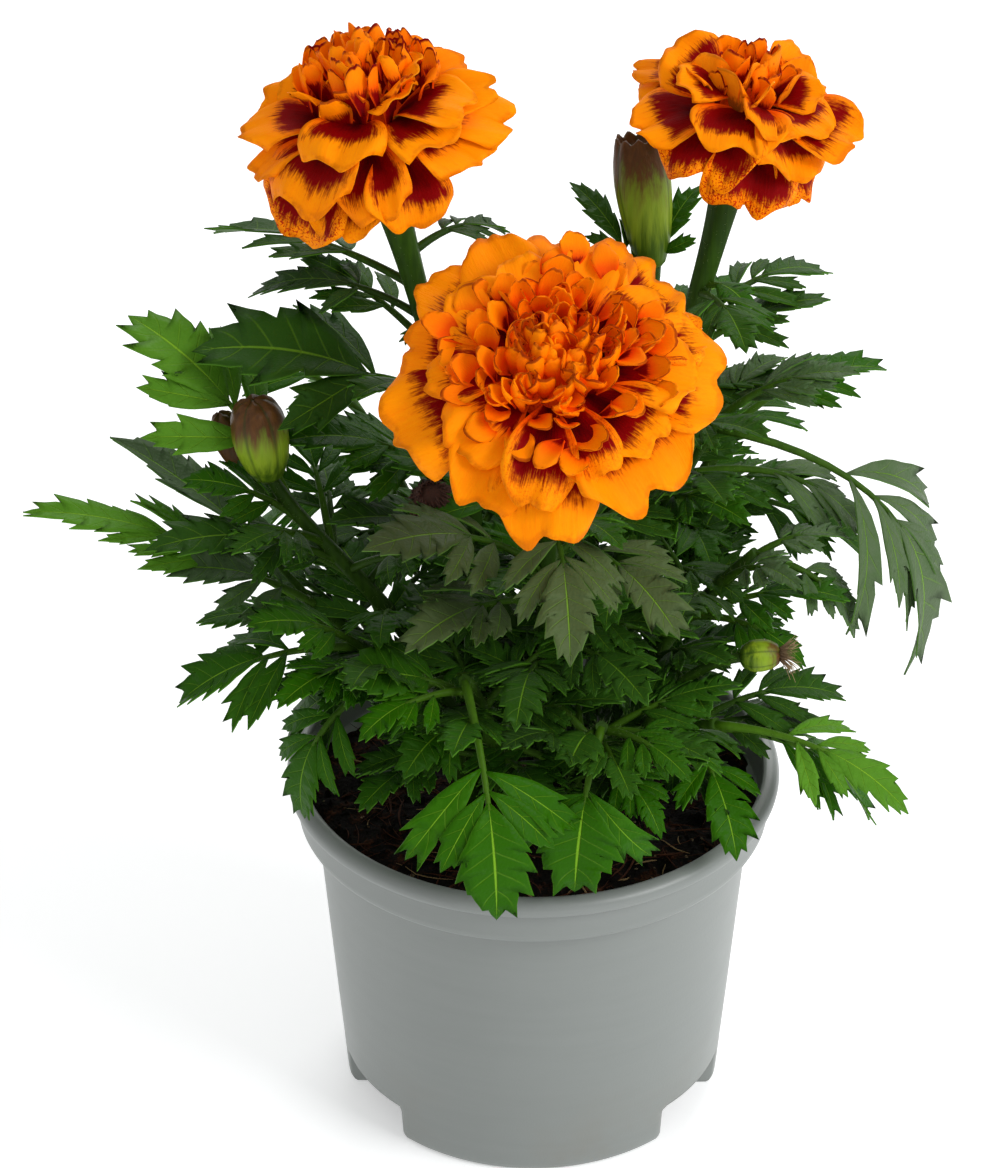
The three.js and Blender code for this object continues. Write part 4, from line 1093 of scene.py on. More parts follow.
def fibre_surfaces(count, draw):
    """Fibres: thin tubes that lie on the soil, each bowed to one side and lifted a little."""
    along = np.linspace(-0.5, 0.5, 6)
    angle = draw.random(count) * 2 * np.pi
    length = 3 + 11 * draw.random(count) ** 2
    heading = np.stack([np.cos(angle), np.sin(angle), draw.uniform(-0.12, 0.12, count)], axis=-1)
    aside = np.stack([-np.sin(angle), np.cos(angle), 0 * angle], axis=-1)
    bow = (draw.uniform(-0.5, 0.5, count) * length)[:, None] * (0.25 - along ** 2)
    centre = scattered(count, SOIL["fibres"], draw)
    centres = (centre[:, None] + heading[:, None] * (along * length[:, None])[..., None]
               + aside[:, None] * bow[..., None])
    rest = soil_top(centres[..., 0], centres[..., 1])
    centres[..., 2] = np.maximum(centres[..., 2], rest) + 0.25
    thick = (0.1 + 0.22 * draw.random(count) ** 2)[:, None] * (1 - 2.6 * along ** 2)
    points, faces = tubes(centres, thick, 4)
    bleached = np.where(draw.random(count) < 0.16, 0.7, 0)[:, None, None]
    return points, faces, shades(points.shape[:3], bleached)


# ---------------------------------------------------------------- stalks, cups and buds


def stalk_radii(path, t, swell):
    """A stalk's radius, running evenly from its foot to its tip and, under a bloom, swelling by
    the seventh power of the place t along it."""
    foot, tip = path[4:]
    return foot + (tip - foot) * t + swell * t ** 7


def stalk_surface(path, swell):
    """A stalk along a cubic path, with low ribs."""
    steps, sides, rib, ribs = 40, 20, 0.05, 5
    t = np.linspace(0.003, 1, steps)
    return tubes(cubic(path, t)[0][None], stalk_radii(path, t, swell)[None], sides, rib, ribs)


def hair_surfaces(roots, slopes, radii, seed):
    """Fine pale hairs: thin spikes that stand out from a stalk at the roots on its middle line, at
    an angle by a draw and leaning a little along the slope, bent over by the square."""
    draw = seed + 5 * np.arange(len(roots))
    out = spokes(2 * np.pi * chance(draw), *square_to(slopes, [0.37, 0.21, 0.9]))
    long = (0.5 + 0.9 * chance(draw + 1))[:, None, None]
    t = np.linspace(0, 1, 4)[:, None]
    centres = (roots[:, None] + out[:, None] * (0.9 * np.asarray(radii)[:, None, None] + long * t)
               + slopes[:, None] * long * (
                   0.3 * t + (chance(draw + 2)[:, None, None] - 0.3) * t * t))
    points, faces = tubes(centres, 0.035 * (1 - 0.7 * t[:, 0]) * np.ones((len(roots), 1)), 3)
    return points, faces, shades(points.shape[:3], 0, 0, 0.5)


def pod_surface(foot, tip, radius, form):
    """A ribbed vase round the line from foot to tip: the form's profile drawn smooth over its
    height, swollen over each bract by |cos(bracts angle / 2)| and with the mouth's edge raised
    into teeth where the bracts are fullest."""
    foot, tip = np.array(foot, float), np.array(tip, float)
    along = tip - foot
    length = np.linalg.norm(along)
    profile = np.array(form["profile"])
    rows, sides = 34, 48
    given, wanted = np.linspace(0, 1, len(profile)), np.linspace(0, 1, rows)
    wide, high = (np.interp(wanted, given, values) for values in profile.T)
    wide[1:-1] = (wide[:-2] + 2 * wide[1:-1] + wide[2:]) / 4
    angle = circle(sides)
    full = np.abs(np.cos(form["bracts"] * angle / 2)) ** 0.7
    point = 1 - np.abs((form["bracts"] * angle / np.pi) % 2 - 1)
    swollen = 1 + form["seam"] * (full - 0.75) * np.minimum(1, 3 * high[:, None])
    mouth = smooth(high, 0.8, 1.0)[:, None]
    level = high[:, None] + form["teeth"] * mouth * (0.5 - point)
    axis = along / length
    ring = spokes(angle, *square_to(axis, [0.31, 0.77, 0.2]))
    reach = radius * wide[:, None] * swollen
    points = foot + reach[..., None] * ring + (level * length)[..., None] * axis
    tint = shades((1, rows, sides), high[:, None] / form["turn"] * 0.5, 1 - full, form["plain"])
    return points[None], ring_faces(1, rows, sides), tint


# ---------------------------------------------------------------- leaves


def leaf_forms(leaves):
    """The bend of each leaf: unit vectors along and across it at its base, and its arched midrib
    as a quadratic curve whose middle point is lifted by twice the bow."""
    base = np.array([leaf["base"] for leaf in leaves], float)
    tip = np.array([leaf["tip"] for leaf in leaves], float)
    length = np.linalg.norm(tip - base, axis=1)
    heading = (tip - base) / length[:, None]
    up = np.array([0.0, 0.0, 1.0])
    rise = unit(up - heading * heading[:, 2:])
    across = np.cross(heading, rise)
    bow = np.array([leaf["bow"] for leaf in leaves], float)[:, None]
    turn = np.radians([leaf["turn"] for leaf in leaves])
    return {"base": base, "tip": tip, "length": length, "across": across, "turn": turn,
            "middle": (base + tip) / 2 + 2 * bow * rise}


def place_on(forms, which, x, y, z):
    """Bends flat leaf points into place: x runs along the midrib's curve, y to the turned side,
    falling by its square, and z up from the blade. which gives the leaf of each first index."""
    extra = x.ndim - 1
    pick = {key: value[which].reshape(len(which), *(1,) * extra, *value.shape[1:])
            for key, value in forms.items()}
    length = pick["length"]
    s = np.clip(x / length, 0, 1)[..., None]
    start, middle, tip = pick["base"], pick["middle"], pick["tip"]
    point = start * (1 - s) ** 2 + 2 * middle * s * (1 - s) + tip * s ** 2
    tangent = unit((middle - start) * (1 - s) + (tip - middle) * s)
    normal = np.cross(pick["across"], tangent)
    cosine, sine = np.cos(pick["turn"])[..., None], np.sin(pick["turn"])[..., None]
    side = pick["across"] * cosine + normal * sine
    lift = normal * cosine - pick["across"] * sine
    return point + y[..., None] * side + (z - 0.6 * y * y / length)[..., None] * lift


def toothed_edge(blade):
    """The rows of a toothed blade, as places along it, half widths, how far each row stands out
    or back as a tooth, forward shifts of the edge and tooth numbers. The width is
    0.05(1 - s) + s^a (1 - s)^b. Each tooth rises slowly to a point and drops back to a notch."""
    teeth, start, end = blade["teeth"], blade["start"], blade["end"]
    a, b = blade["form"]
    step = (end - start) / teeth
    s, out, forward = [0.0, 0.12, 0.55 * start, start * 0.85], [0, 0, 0, 0], [0, 0, 0, 0]
    number = [-3, -2, -1, -0.5]
    for k in range(teeth):
        low = start + k * step
        s += [low, low + 0.35 * step, low + 0.68 * step, low + 0.84 * step]
        out += [-blade["notch"] if k else 0, 0.0, 0.45 * blade["peak"], blade["peak"]]
        forward += [0.0, 0.06 * step, 0.2 * step, 0.62 * step]
        number += [k, k + 0.35, k + 0.7, k + 0.9]
    s += [end, 0.5 * (1 + end), 1.0]
    out += [-blade["notch"], -0.3 * blade["notch"], 0]
    forward += [0, 0, 0]
    number += [teeth, teeth + 0.5, teeth + 1]
    s = np.array(s)
    most = (a / (a + b)) ** a * (b / (a + b)) ** b
    width = 0.05 * (1 - s) + s ** a * np.maximum(1 - s, 0.0) ** b / most + 0.004
    return s, width, np.array(out, float), np.array(forward), np.array(number)


def blade_surfaces(forms, parts, blade, thickness):
    """Toothed leaflets, all at once. Each runs from its start at its angle, turning a little
    towards the leaf's tip; across it lie seven columns that fold up from the midrib, ripple
    at the edge and droop by the square of the place. Returns blades and their midribs."""
    s, width, out, forward, number = toothed_edge(blade)
    which = np.array([part["leaf"] for part in parts])
    start_x, start_y, angle, long, wide, seed = (
        np.array([part[key] for part in parts], float)[:, None]
        for key in ("x", "y", "angle", "long", "wide", "seed"))
    bent = angle * (1 - 0.35 * s) + 0.16 * (chance(seed + 5) - 0.5) * s
    step = np.diff(s, prepend=0)
    middle_x = start_x + long * np.cumsum(np.cos(bent) * step, axis=1)
    middle_y = start_y + long * np.cumsum(np.sin(bent) * step, axis=1)
    own = chance(seed[..., None] * 3 + 17 * np.floor(number)[:, None] + 5 * (COLUMNS > 0))
    jag = 0.15 + 1.5 * own
    half = (wide * width)[..., None] * (1 + out[:, None] * jag * np.abs(COLUMNS))
    shift = (long * forward)[..., None] * jag * np.abs(COLUMNS) ** 1.5
    bent, aside = bent[..., None], half * COLUMNS
    x = middle_x[..., None] - np.sin(bent) * aside + np.cos(bent) * shift
    y = middle_y[..., None] + np.cos(bent) * aside + np.sin(bent) * shift
    fold = 0.12 + 0.28 * chance(seed + 1)
    droop = (0.02 + 0.14 * chance(seed + 2)) * long
    ripple = np.sin(7 * s + 6 * chance(seed + 3))[..., None] * COLUMNS ** 2
    z = (fold[..., None] * half * np.abs(COLUMNS) ** 1.3 - (droop * s * s)[..., None]
         + 0.1 * half * ripple)
    points, faces = shells(place_on(forms, which, x, y, z),
                           thickness / 2 * (1 - 0.4 * COLUMNS ** 2))
    shape = points.shape[1:4]
    flat = np.stack(np.broadcast_arrays((COLUMNS + 1) / 2, ((number + 4) / 16)[:, None]), axis=-1)
    tint = np.zeros((2, *shape, 4))
    tint[..., [0, 1, 3]] = np.array([part["finish"] for part in parts])[:, None, None]
    tint[..., 0] += 0.12 * (chance(seed + 4)[..., None] - 0.5)
    tint[1, ..., 2] = 1
    rib = slice(0, -1, 2)
    ribs = place_on(forms, which, middle_x[:, rib], middle_y[:, rib],
                    -droop * s[rib] ** 2 - thickness * 0.5)
    thin = np.linspace(1, 0.3, ribs.shape[1]) * np.minimum(0.27, 0.012 * long)
    return points, faces, tint, np.broadcast_to(flat, (2, *shape, 2)), tubes(ribs, thin, 5)


def leaflets_of(index, leaf, length):
    """A leaf's parts in its flat form: leaflets in pairs that lean forward, and one at the end."""
    pairs, breadth = leaf["pairs"], leaf["breadth"]
    seat, parts = 1.9, []  # seat is how far a pair's stalks run along the midrib
    lean, slim = (56, 1.0) if pairs < 3 else (42, 0.7)
    end = length * 0.3
    for k in range(pairs):
        start = length * (0.34 + 0.24 * k / max(1, pairs))
        end = start + seat
        long = length * breadth * (0.40 - 0.05 * k)
        for sign in (-1, 1):
            seed = leaf["seed"] * 31 + k * 7 + sign
            parts.append({
                "x": start + seat / 2 + 0.05 * length * (chance(seed) - 0.7), "y": 0.4 * sign,
                "angle": sign * math.radians(lean - 9 * k + 14 * (chance(seed + 1) - 0.5)),
                "long": long * (0.86 + 0.26 * chance(seed + 2)),
                "wide": max(1.5, long * 0.145 * slim), "seed": seed,
            })
    parts.append({"x": end, "y": 0, "angle": 0, "long": length - end, "seed": leaf["seed"] * 31 + 3,
                  "wide": max(2.0, (length - end) * 0.232 * breadth * slim)})
    for part in parts:
        part.update(leaf=index, finish=leaf["finish"])
    return parts, end


def leaves_of(name, inner):
    """The leaves of one stem: those of its table, and small ones inside the bush at places along
    it that turn by the golden angle."""
    stem = STEMS[name]
    seed = 1 + 40 * list(STEMS).index(name)
    leaves = []
    for at, tip, bow, turn, pairs, breadth, finish in stem["leaves"]:
        leaves.append({"base": cubic(stem["paths"][0], at)[0], "tip": tip, "bow": bow,
                       "turn": turn, "pairs": pairs, "breadth": breadth,
                       "finish": FINISHES[finish], "seed": seed + len(leaves)})
    for i in range(inner):
        draw = seed + 400 + i
        base = cubic(stem["paths"][0], 0.3 + 0.5 * (i + chance(draw)) / inner)[0]
        heading = GOLDEN * i + 2.4 * chance(seed)
        long = 25 + 12 * chance(draw + 3)
        rise = 0.1 + 0.5 * chance(draw + 9)
        tip = base + long * np.array([math.cos(heading), math.sin(heading), rise])
        leaves.append({"base": base, "tip": tip, "bow": 3, "turn": 0, "pairs": 2,
                       "breadth": 0.95, "seed": draw,
                       "finish": (0.1 + 0.55 * chance(draw + 12), 0.1, 0.0)})
    return leaves


def add_leaves(surfaces, leaves, thickness):
    """Adds the stalks, midribs and toothed blades of the leaves to one mesh."""
    forms = leaf_forms(leaves)
    sides, ends, stalks = [], [], []
    for index, leaf in enumerate(leaves):
        parts, end = leaflets_of(index, leaf, forms["length"][index])
        sides += parts[:-1]
        ends.append(parts[-1])
        stalks.append(end)
    steps, sunk, past = 9, 0.25, 1.5
    along = np.linspace(0, 1, steps) * (np.array(stalks) + past)[:, None]
    centres = place_on(forms, np.arange(len(leaves)), along, 0 * along, 0 * along - sunk)
    radii = np.linspace(1.0, 0.55, steps) * np.ones((len(leaves), 1))
    points, faces = tubes(centres, radii, 8)
    light = np.array([leaf["finish"][0] for leaf in leaves])[:, None, None] - 0.2
    surfaces.add(points, faces, shades(points.shape[:3], 0, light), finish=1)
    slopes = unit(np.gradient(centres, axis=1))
    roots = (centres[:, 2:, None] * (1 - HAIR_STEPS) + centres[:, 1:-1, None] * HAIR_STEPS)
    slopes = np.broadcast_to(slopes[:, 2:, None], roots.shape)
    radii = np.broadcast_to(radii[:, 2:, None], roots.shape[:3])
    surfaces.add(*hair_surfaces(roots.reshape(-1, 3), slopes.reshape(-1, 3), radii.ravel(),
                                leaves[0]["seed"]), finish=1)
    for parts, blade in ((sides, SIDE_BLADE), (ends, END_BLADE)):
        if parts:
            *blades, ribs = blade_surfaces(forms, parts, blade, thickness)
            surfaces.add(*blades)
            surfaces.add(*ribs, finish=1)


# ---------------------------------------------------------------- blooms


def bloom_frame(bloom):
    """The middle of the cup's rim, its axis, and two directions across it that continue +X and +Y
    turned by the shortest way from +Z to the axis."""
    cup = STEMS[bloom["name"] + "_stem"]["cup"]
    axis = Vector(cup["axis"]).normalized()
    turn = Vector((0, 0, 1)).rotation_difference(axis)
    return (np.array(cup["top"], float), np.array(axis), np.array(turn @ Vector((1, 0, 0))),
            np.array(turn @ Vector((0, 1, 0))))


def petal_sheets(foot, tip, turn, place, wide, shape, rows, columns):
    """Petals as sheets over (s along, v across). From a narrow claw the width opens by a sine, the
    outer end is rounded by |v|^2.8, notched in the middle and frilled by cosines. The
    cross section is an arc of half angle cup, and the height adds a bow, a bend by s^2, a curl
    by s^4 and a ruffle at the edge."""
    _, axis, east, north = place
    around = np.cross(axis, spokes(turn, east, north))
    outward = tip - foot
    long = np.linalg.norm(outward, axis=1)[:, None, None]
    outward = unit(outward)
    around = unit(around - outward * (outward * around).sum(axis=1, keepdims=True))
    across, lift = -around, np.cross(outward, around)
    roll = shape["roll"][:, None]
    across, lift = (across * np.cos(roll) + lift * np.sin(roll),
                    lift * np.cos(roll) - across * np.sin(roll))
    s = np.linspace(0, 1, rows)[:, None]
    v = np.linspace(-1, 1, columns)
    get = {key: np.asarray(value, float)[:, None, None] for key, value in shape.items()}
    wide = wide[:, None, None]
    opening = (0.2 + 0.8 * np.sin(np.pi / 2 * np.minimum(1, s / get["broad"])) ** 1.25
               - 0.1 * np.clip((s - 0.85) / 0.15, 0, 1) ** 2)
    frill = 0.5 * np.cos(get["lobes"] * v + get["phase"])
    rounded = (get["round"] * np.abs(v) ** 2.8 + get["notch"] * np.exp(-(v / 0.16) ** 2)
               + get["frill"] * (frill + 0.16 * np.cos(2.7 * get["lobes"] * v + get["waves"])))
    x = long * s * (1 - rounded * s ** 2)
    cup = get["cup"] * (1 - 0.4 * s)
    y = wide * opening * np.sin(cup * v) / cup
    hollow = wide * opening * (1 - np.cos(cup * v)) / cup
    ruffle = get["ruffle"] * wide * np.sin(get["waves"] * v + get["phase"] * 3) * s ** 2 * (
        0.35 + 0.65 * np.abs(v))
    pleat = 0.012 * wide * np.cos(11 * v + get["phase"]) * s
    z = (hollow + ruffle + pleat + get["bow"] * long * 4 * s * (1 - s) - get["bend"] * s ** 2
         + get["curl"] * long * (s ** 4 - 0.2 * s))
    return (foot[:, None, None] + x[..., None] * outward[:, None, None]
            + y[..., None] * across[:, None, None] + z[..., None] * lift[:, None, None])


def add_petals(surfaces, sheets, thickness, blotch, warm, dull, edge):
    """Adds petals to the bloom's mesh, with the reach of their blotch, their warmth, how dull their
    backs are and how dark their rims are as shades."""
    rows, columns = sheets.shape[1:3]
    s, v = np.linspace(0, 1, rows)[:, None], np.linspace(-1, 1, columns)
    points, faces = shells(sheets, thickness / 2 * (1.15 - 0.5 * s - 0.2 * v * v))
    flat = np.stack(np.broadcast_arrays((v + 1) / 2, s), axis=-1)
    backs = np.array([0, dull]).reshape(2, 1, 1, 1)
    tint = shades(points.shape[:4], blotch[:, None, None], warm[:, None, None], backs, edge)
    surfaces.add(points, faces, tint, flat)


def broad_petals(surfaces, bloom, place, petals, thickness):
    """Adds broad petals. Their feet stand on the core, whose radius falls by a quarter circle, and
    petals holds an array for each thing that sets them apart."""
    centre, axis, east, north = place
    radius, height = bloom["core"]
    turn, draw, part = petals["turn"], petals["draw"], petals["foot"]
    radial = spokes(turn, east, north)
    foot_radius = np.maximum(1.0, radius * np.sqrt(1 - part ** 2) - 3.2)
    foot = centre + foot_radius[:, None] * radial + (height * part)[:, None] * axis
    level = petals["level"] + petals["bend"]
    tip = centre + petals["reach"][:, None] * radial + level[:, None] * axis
    shape = {
        "roll": petals["roll"], "broad": 0.72 + 0.1 * chance(draw + 20),
        "round": 0.19 + 0.12 * chance(draw + 22), "notch": petals["notch"],
        "frill": 0.05 + 0 * turn, "lobes": 4 + 3 * chance(draw + 24),
        "phase": 6 * chance(draw + 25), "cup": 0.25 + 0.4 * chance(draw + 26),
        "ruffle": 0.12 + 0.14 * chance(draw + 27), "waves": 4 + 3 * chance(draw + 28),
        "bow": 0.05 + 0.06 * chance(draw + 29), "bend": petals["bend"],
        "curl": -0.12 + 0.18 * chance(draw + 30),
    }
    rows, columns, edge = 19, 25, 0.3
    sheets = petal_sheets(foot, tip, turn, place, petals["wide"], shape, rows, columns)
    add_petals(surfaces, sheets, thickness, petals["blotch"], petals["warm"], 1, edge)


def add_ring(surfaces, bloom, place, ring, seed, thickness):
    """One ring of broad petals on the bloom's far side, where the sine of the turn is high: the
    turn, reach and height of each vary a little by chance."""
    count, reach, level, width, bend, part, blotch, notch = bloom["rings"][ring]
    i = np.arange(count)
    draw = seed + ring * 31 + i
    turn = 2 * np.pi * (i + 0.5 * (ring % 2) + 0.2 * (chance(draw) - 0.5)) / count
    petals = {
        "turn": turn, "draw": draw, "foot": part + 0 * turn, "bend": bend + 0 * turn,
        "reach": reach * (0.95 + 0.1 * chance(draw + 7)),
        "level": level + 1.6 * (chance(draw + 13) - 0.5),
        "roll": -np.radians(11 + 14 * (chance(draw + 21) - 0.5)),
        "notch": notch * (0.3 + 1.4 * chance(draw + 23)),
        "wide": width / 2 * (1.0 + 0.22 * chance(draw + 33)),
        "blotch": blotch * (0.82 + 0.36 * chance(draw + 31)),
        "warm": 0.1 * ring + 0.2 * chance(draw + 32),
    }
    far = np.sin(turn) > FAR_SIDE
    petals = {key: value[far] for key, value in petals.items()}
    broad_petals(surfaces, bloom, place, petals, thickness)


def add_placed(surfaces, bloom, place, seed, thickness):
    """The broad petals whose places are in the bloom's table."""
    table = np.array(bloom["placed"], float).T
    keys = ("turn", "reach", "level", "wide", "bend", "foot", "blotch", "roll", "notch")
    petals = dict(zip(keys, table))
    draw = seed + 400 + np.arange(table.shape[1])
    petals.update(turn=np.radians(petals["turn"]), roll=np.radians(petals["roll"]), draw=draw,
                  wide=petals["wide"] * 0.55, warm=0.2 * chance(draw + 32))
    broad_petals(surfaces, bloom, place, petals, thickness)


def add_zone(surfaces, bloom, place, number, seed, thickness):
    """A zone of small hollow florets: they turn by the golden angle and their tips lie at radii
    that share the area evenly, while each one leans out and curls in by its own part."""
    centre, axis, east, north = place
    zone = dict(zip(ZONE_KEYS, bloom["zones"][number]))
    count = zone["count"]
    i = np.arange(count)
    draw = seed + 900 + 500 * number + 3 * i
    inner, outer = zone["radius"]
    reach = np.sqrt(inner ** 2 + (outer ** 2 - inner ** 2) * (i + 0.5) / count)
    share = (reach - inner) / (outer - inner)

    def between(key, spread, place_in_draw):
        low, high = zone[key]
        return low + (high - low) * share + spread * (chance(draw + place_in_draw) - 0.5)

    turn = GOLDEN * i + 0.7 * (chance(draw) - 0.5)
    radial = spokes(turn, east, north)
    reach = reach * (0.92 + 0.16 * chance(draw + 1)) * (
        1 + zone["far"] * np.maximum(0, np.sin(turn)))
    tip = centre + reach[:, None] * radial + between("height", 2.6, 2)[:, None] * axis
    lean = np.radians(between("lean", 22, 3))[:, None]
    long = zone["long"] * (0.85 + 0.3 * chance(draw + 4))
    facing = turn + zone["spread"] * (chance(draw + 19) - 0.5)
    ahead = spokes(facing, east, north)
    foot = tip - long[:, None] * (np.cos(lean) * ahead + np.sin(lean) * axis)
    shape = {
        "roll": np.radians(46 * (chance(draw + 5) - 0.5)), "broad": 0.62 + 0.2 * chance(draw + 6),
        "round": 0.3 + 0.14 * chance(draw + 7), "notch": 0.1 * chance(draw + 8) ** 3,
        "frill": 0.03 * np.ones(count), "lobes": 3 + 3 * chance(draw + 9),
        "phase": 6 * chance(draw + 10), "cup": between("cup", 0.5, 11),
        "ruffle": 0.06 + 0.14 * chance(draw + 12), "waves": 3 + 2 * chance(draw + 13),
        "bow": 0.08 * chance(draw + 14), "bend": np.zeros(count),
        "curl": between("curl", 0.24, 15),
    }
    wide = zone["wide"] / 2 * (0.85 + 0.35 * chance(draw + 16))
    large = zone["wide"] > 8
    rows, columns, dull, least = (15, 17, 0.4, 0.1) if large else (11, 9, 0, 0.2)
    sheets = petal_sheets(foot, tip, facing, place, wide, shape, rows, columns)
    blotch = zone["blotch"] * (0.75 + 0.5 * chance(draw + 17))
    warm = least + 0.35 * chance(draw + 18)
    add_petals(surfaces, sheets, thickness, blotch, warm, dull, zone["edge"])


def core_surface(bloom, place):
    """The hidden core: a dome whose radius falls by a quarter circle, on a plug in the cup."""
    centre, axis, east, north = place
    radius, height = bloom["core"]
    sides = 24
    plug = np.array([(0.3, -4.4), (2.2, -4.2), (3.6, 0.5)])
    rise = np.linspace(0, 1, 12)
    wide = np.concatenate([plug[:, 0], (radius - 2.4) * np.sqrt(1 - rise ** 2 * 0.998)])
    high = np.concatenate([plug[:, 1], 2.0 + (height * 0.8 - 2.0) * rise])
    ring = spokes(circle(sides), east, north)
    points = centre + wide[:, None, None] * ring + high[:, None, None] * axis
    dome = (np.arange(len(wide)) > len(plug))[:, None]
    tint = shades((1, len(wide), sides), dome, dome, ~dome, dome)
    return points[None], ring_faces(1, len(wide), sides), tint


# ---------------------------------------------------------------- withered parts


def spent_surfaces():
    """The withered head: a ball with a flat foot, and over it dried florets whose tips turn in."""
    path = STEMS[SPENT["stem"]]["paths"][SPENT["branch"]]
    end, axis = cubic(path, 1.0)
    end = end + 0.3 * axis
    east, north = square_to(axis, [0.2, 1.0, 0.1])
    rows, sides, count = 16, 36, SPENT["florets"]
    rise = np.linspace(0, 1, rows)
    wide = SPENT["radius"] * np.sqrt(np.clip(1 - (2 * rise - 1) ** 2 * 0.9, 0.02, 1)) * 0.86
    angle = circle(sides)
    crease = 1 + 0.08 * np.cos(9 * angle + 4 * rise[:, None]) * np.sin(np.pi * rise)[:, None]
    ball = (end + (wide[:, None] * crease)[..., None] * spokes(angle, east, north)
            + (rise * SPENT["height"] * 0.86)[:, None, None] * axis)
    i = np.arange(count)
    share = np.sqrt((i + 0.5) / count)
    radial = spokes(GOLDEN * i, east, north)
    t = np.linspace(0, 1, 7)
    out = SPENT["radius"] * (0.35 + 0.7 * share)[:, None] * np.sin(
        np.pi * (0.3 + 0.62 * t) * (0.7 + 0.3 * share[:, None]))
    level = 2.2 + (SPENT["height"] - 1.6) * t * (1.12 - 0.55 * share[:, None])
    strands = (end + radial[:, None] * out[..., None] + axis * level[..., None])
    thick = (0.5 - 0.34 * t) * (0.7 + 0.6 * chance(i)[:, None])
    return (ball[None], ring_faces(1, rows, sides)), tubes(strands, thick, 5)


def tuft_surfaces():
    """Dry florets: fine hairs that fan out from a small disc and bend over under their weight."""
    i = np.arange(TUFT["hairs"])
    t = np.linspace(0, 1, 7)
    turn = GOLDEN * i
    lean = (0.15 + 0.75 * np.sqrt((i + 0.5) / len(i)))[:, None]
    long = (TUFT["length"] * (0.7 + 0.6 * chance(i + 7)))[:, None]
    curl = (chance(i + 3) - 0.5)[:, None]
    foot = np.array(TUFT["foot"]) + 1.4 * np.stack(
        [0 * i, np.cos(turn) * lean[:, 0], np.sin(turn) * lean[:, 0]], axis=-1)
    x = long * t * (1 - 0.25 * lean * t)
    y = long * lean * np.cos(turn)[:, None] * t ** 1.3 + curl * long * t ** 2
    z = long * lean * np.sin(turn)[:, None] * t ** 1.3 - 1.2 * t ** 2 * lean
    centres = foot[:, None] + np.stack([x, y, z], axis=-1)
    thick = (0.17 - 0.12 * t) * np.ones((len(i), 1))
    points, faces = tubes(centres, thick, 4)
    pale = (0.25 + 0.75 * t)[:, None] * (0.5 + 0.5 * chance(i + 31))[:, None, None]
    return points, faces, shades(points.shape[:3], pale)


# ---------------------------------------------------------------- operators


class MARIGOLD_OT_stage(bpy.types.Operator):
    """Make the camera, the soft light and the pale floor"""

    bl_idname = "marigold.stage"
    bl_label = "Stage"

    def execute(self, context):
        settings = context.scene.marigold_stage
        self.camera(context, settings)
        self.floor(context, settings)
        self.light(context, settings)
        context.scene.view_settings.view_transform = "Standard"
        return {"FINISHED"}

    def camera(self, context, settings):
        """Looks down on the rim from the front, and turns so that its middle is at its place in
        the image: the pitch and yaw solve for the ray through that pixel."""
        width, height = IMAGE
        right, below = RIM_PIXEL[0] - width / 2, RIM_PIXEL[1] - height / 2
        focus = settings.scale * settings.distance / MM
        tall = math.hypot(focus, below)
        ray = math.hypot(tall, right)
        pitch = math.asin(ray * math.sin(settings.elevation) / tall) - math.atan(below / focus)
        level = focus * math.cos(pitch) - below * math.sin(pitch)
        yaw = math.atan(right / level)
        forward = Vector((-math.sin(yaw) * math.cos(pitch), math.cos(yaw) * math.cos(pitch),
                          -math.sin(pitch)))
        data = bpy.data.cameras.new("camera")
        data.sensor_width = 36
        data.lens = focus / height * data.sensor_width
        camera = bpy.data.objects.new("camera", data)
        camera.location = (0, -settings.distance * math.cos(settings.elevation),
                           RIM_HEIGHT * MM + settings.distance * math.sin(settings.elevation))
        camera.rotation_euler = forward.to_track_quat("-Z", "Y").to_euler()
        context.scene.collection.objects.link(camera)
        context.scene.camera = camera

    def floor(self, context, settings):
        """One wide flat square at the height that the pot stands on."""
        reach = 6.0  # metres from the middle to each edge
        mesh = bpy.data.meshes.new("floor")
        mesh.from_pydata([(-reach, -reach, 0), (reach, -reach, 0), (reach, reach, 0),
                          (-reach, reach, 0)], [], [(0, 1, 2, 3)])
        material, tree, shader, place, _, _ = surface_material("floor_paint", 0.8, 0.1)
        dusty = [channel * 0.985 for channel in settings.floor]
        colour = blend(tree, noise(tree, place["Object"], 3.0), dusty, settings.floor)
        tree.links.new(colour, shader.inputs["Base Color"])
        shader.inputs["Emission Color"].default_value = (1, 1, 1, 1)
        shader.inputs["Emission Strength"].default_value = 0.36
        mesh.materials.append(material)
        plane = bpy.data.objects.new("floor", mesh)
        context.scene.collection.objects.link(plane)

    def light(self, context, settings):
        """A soft key from the right front, a faint fill from the left, one from the back and a
        white sky. All three point at the middle of the plant."""
        aim = Vector((0, 0, 0.12))
        for name, place, size, share in LIGHTS:
            data = bpy.data.lights.new(name, "AREA")
            data.energy = settings.key * share
            data.size = size
            lamp = bpy.data.objects.new(name, data)
            lamp.location = place
            lamp.rotation_euler = (aim - Vector(place)).to_track_quat("-Z", "Y").to_euler()
            context.scene.collection.objects.link(lamp)
        world = bpy.data.worlds.new("studio")
        world.use_nodes = True
        sky = world.node_tree.nodes["Background"]
        sky.inputs["Color"].default_value = (1, 1, 1, 1)
        sky.inputs["Strength"].default_value = settings.sky
        context.scene.world = world


class MARIGOLD_OT_pot(bpy.types.Operator):
    """Make the round plastic pot with its drain recesses"""

    bl_idname = "marigold.pot"
    bl_label = "Pot"

    def execute(self, context):
        surfaces = Surfaces()
        surfaces.add(*pot_surface(context.scene.marigold_pot.sides))
        surfaces.make("plastic_pot", ["pot_plastic"], ["pot"])
        return {"FINISHED"}


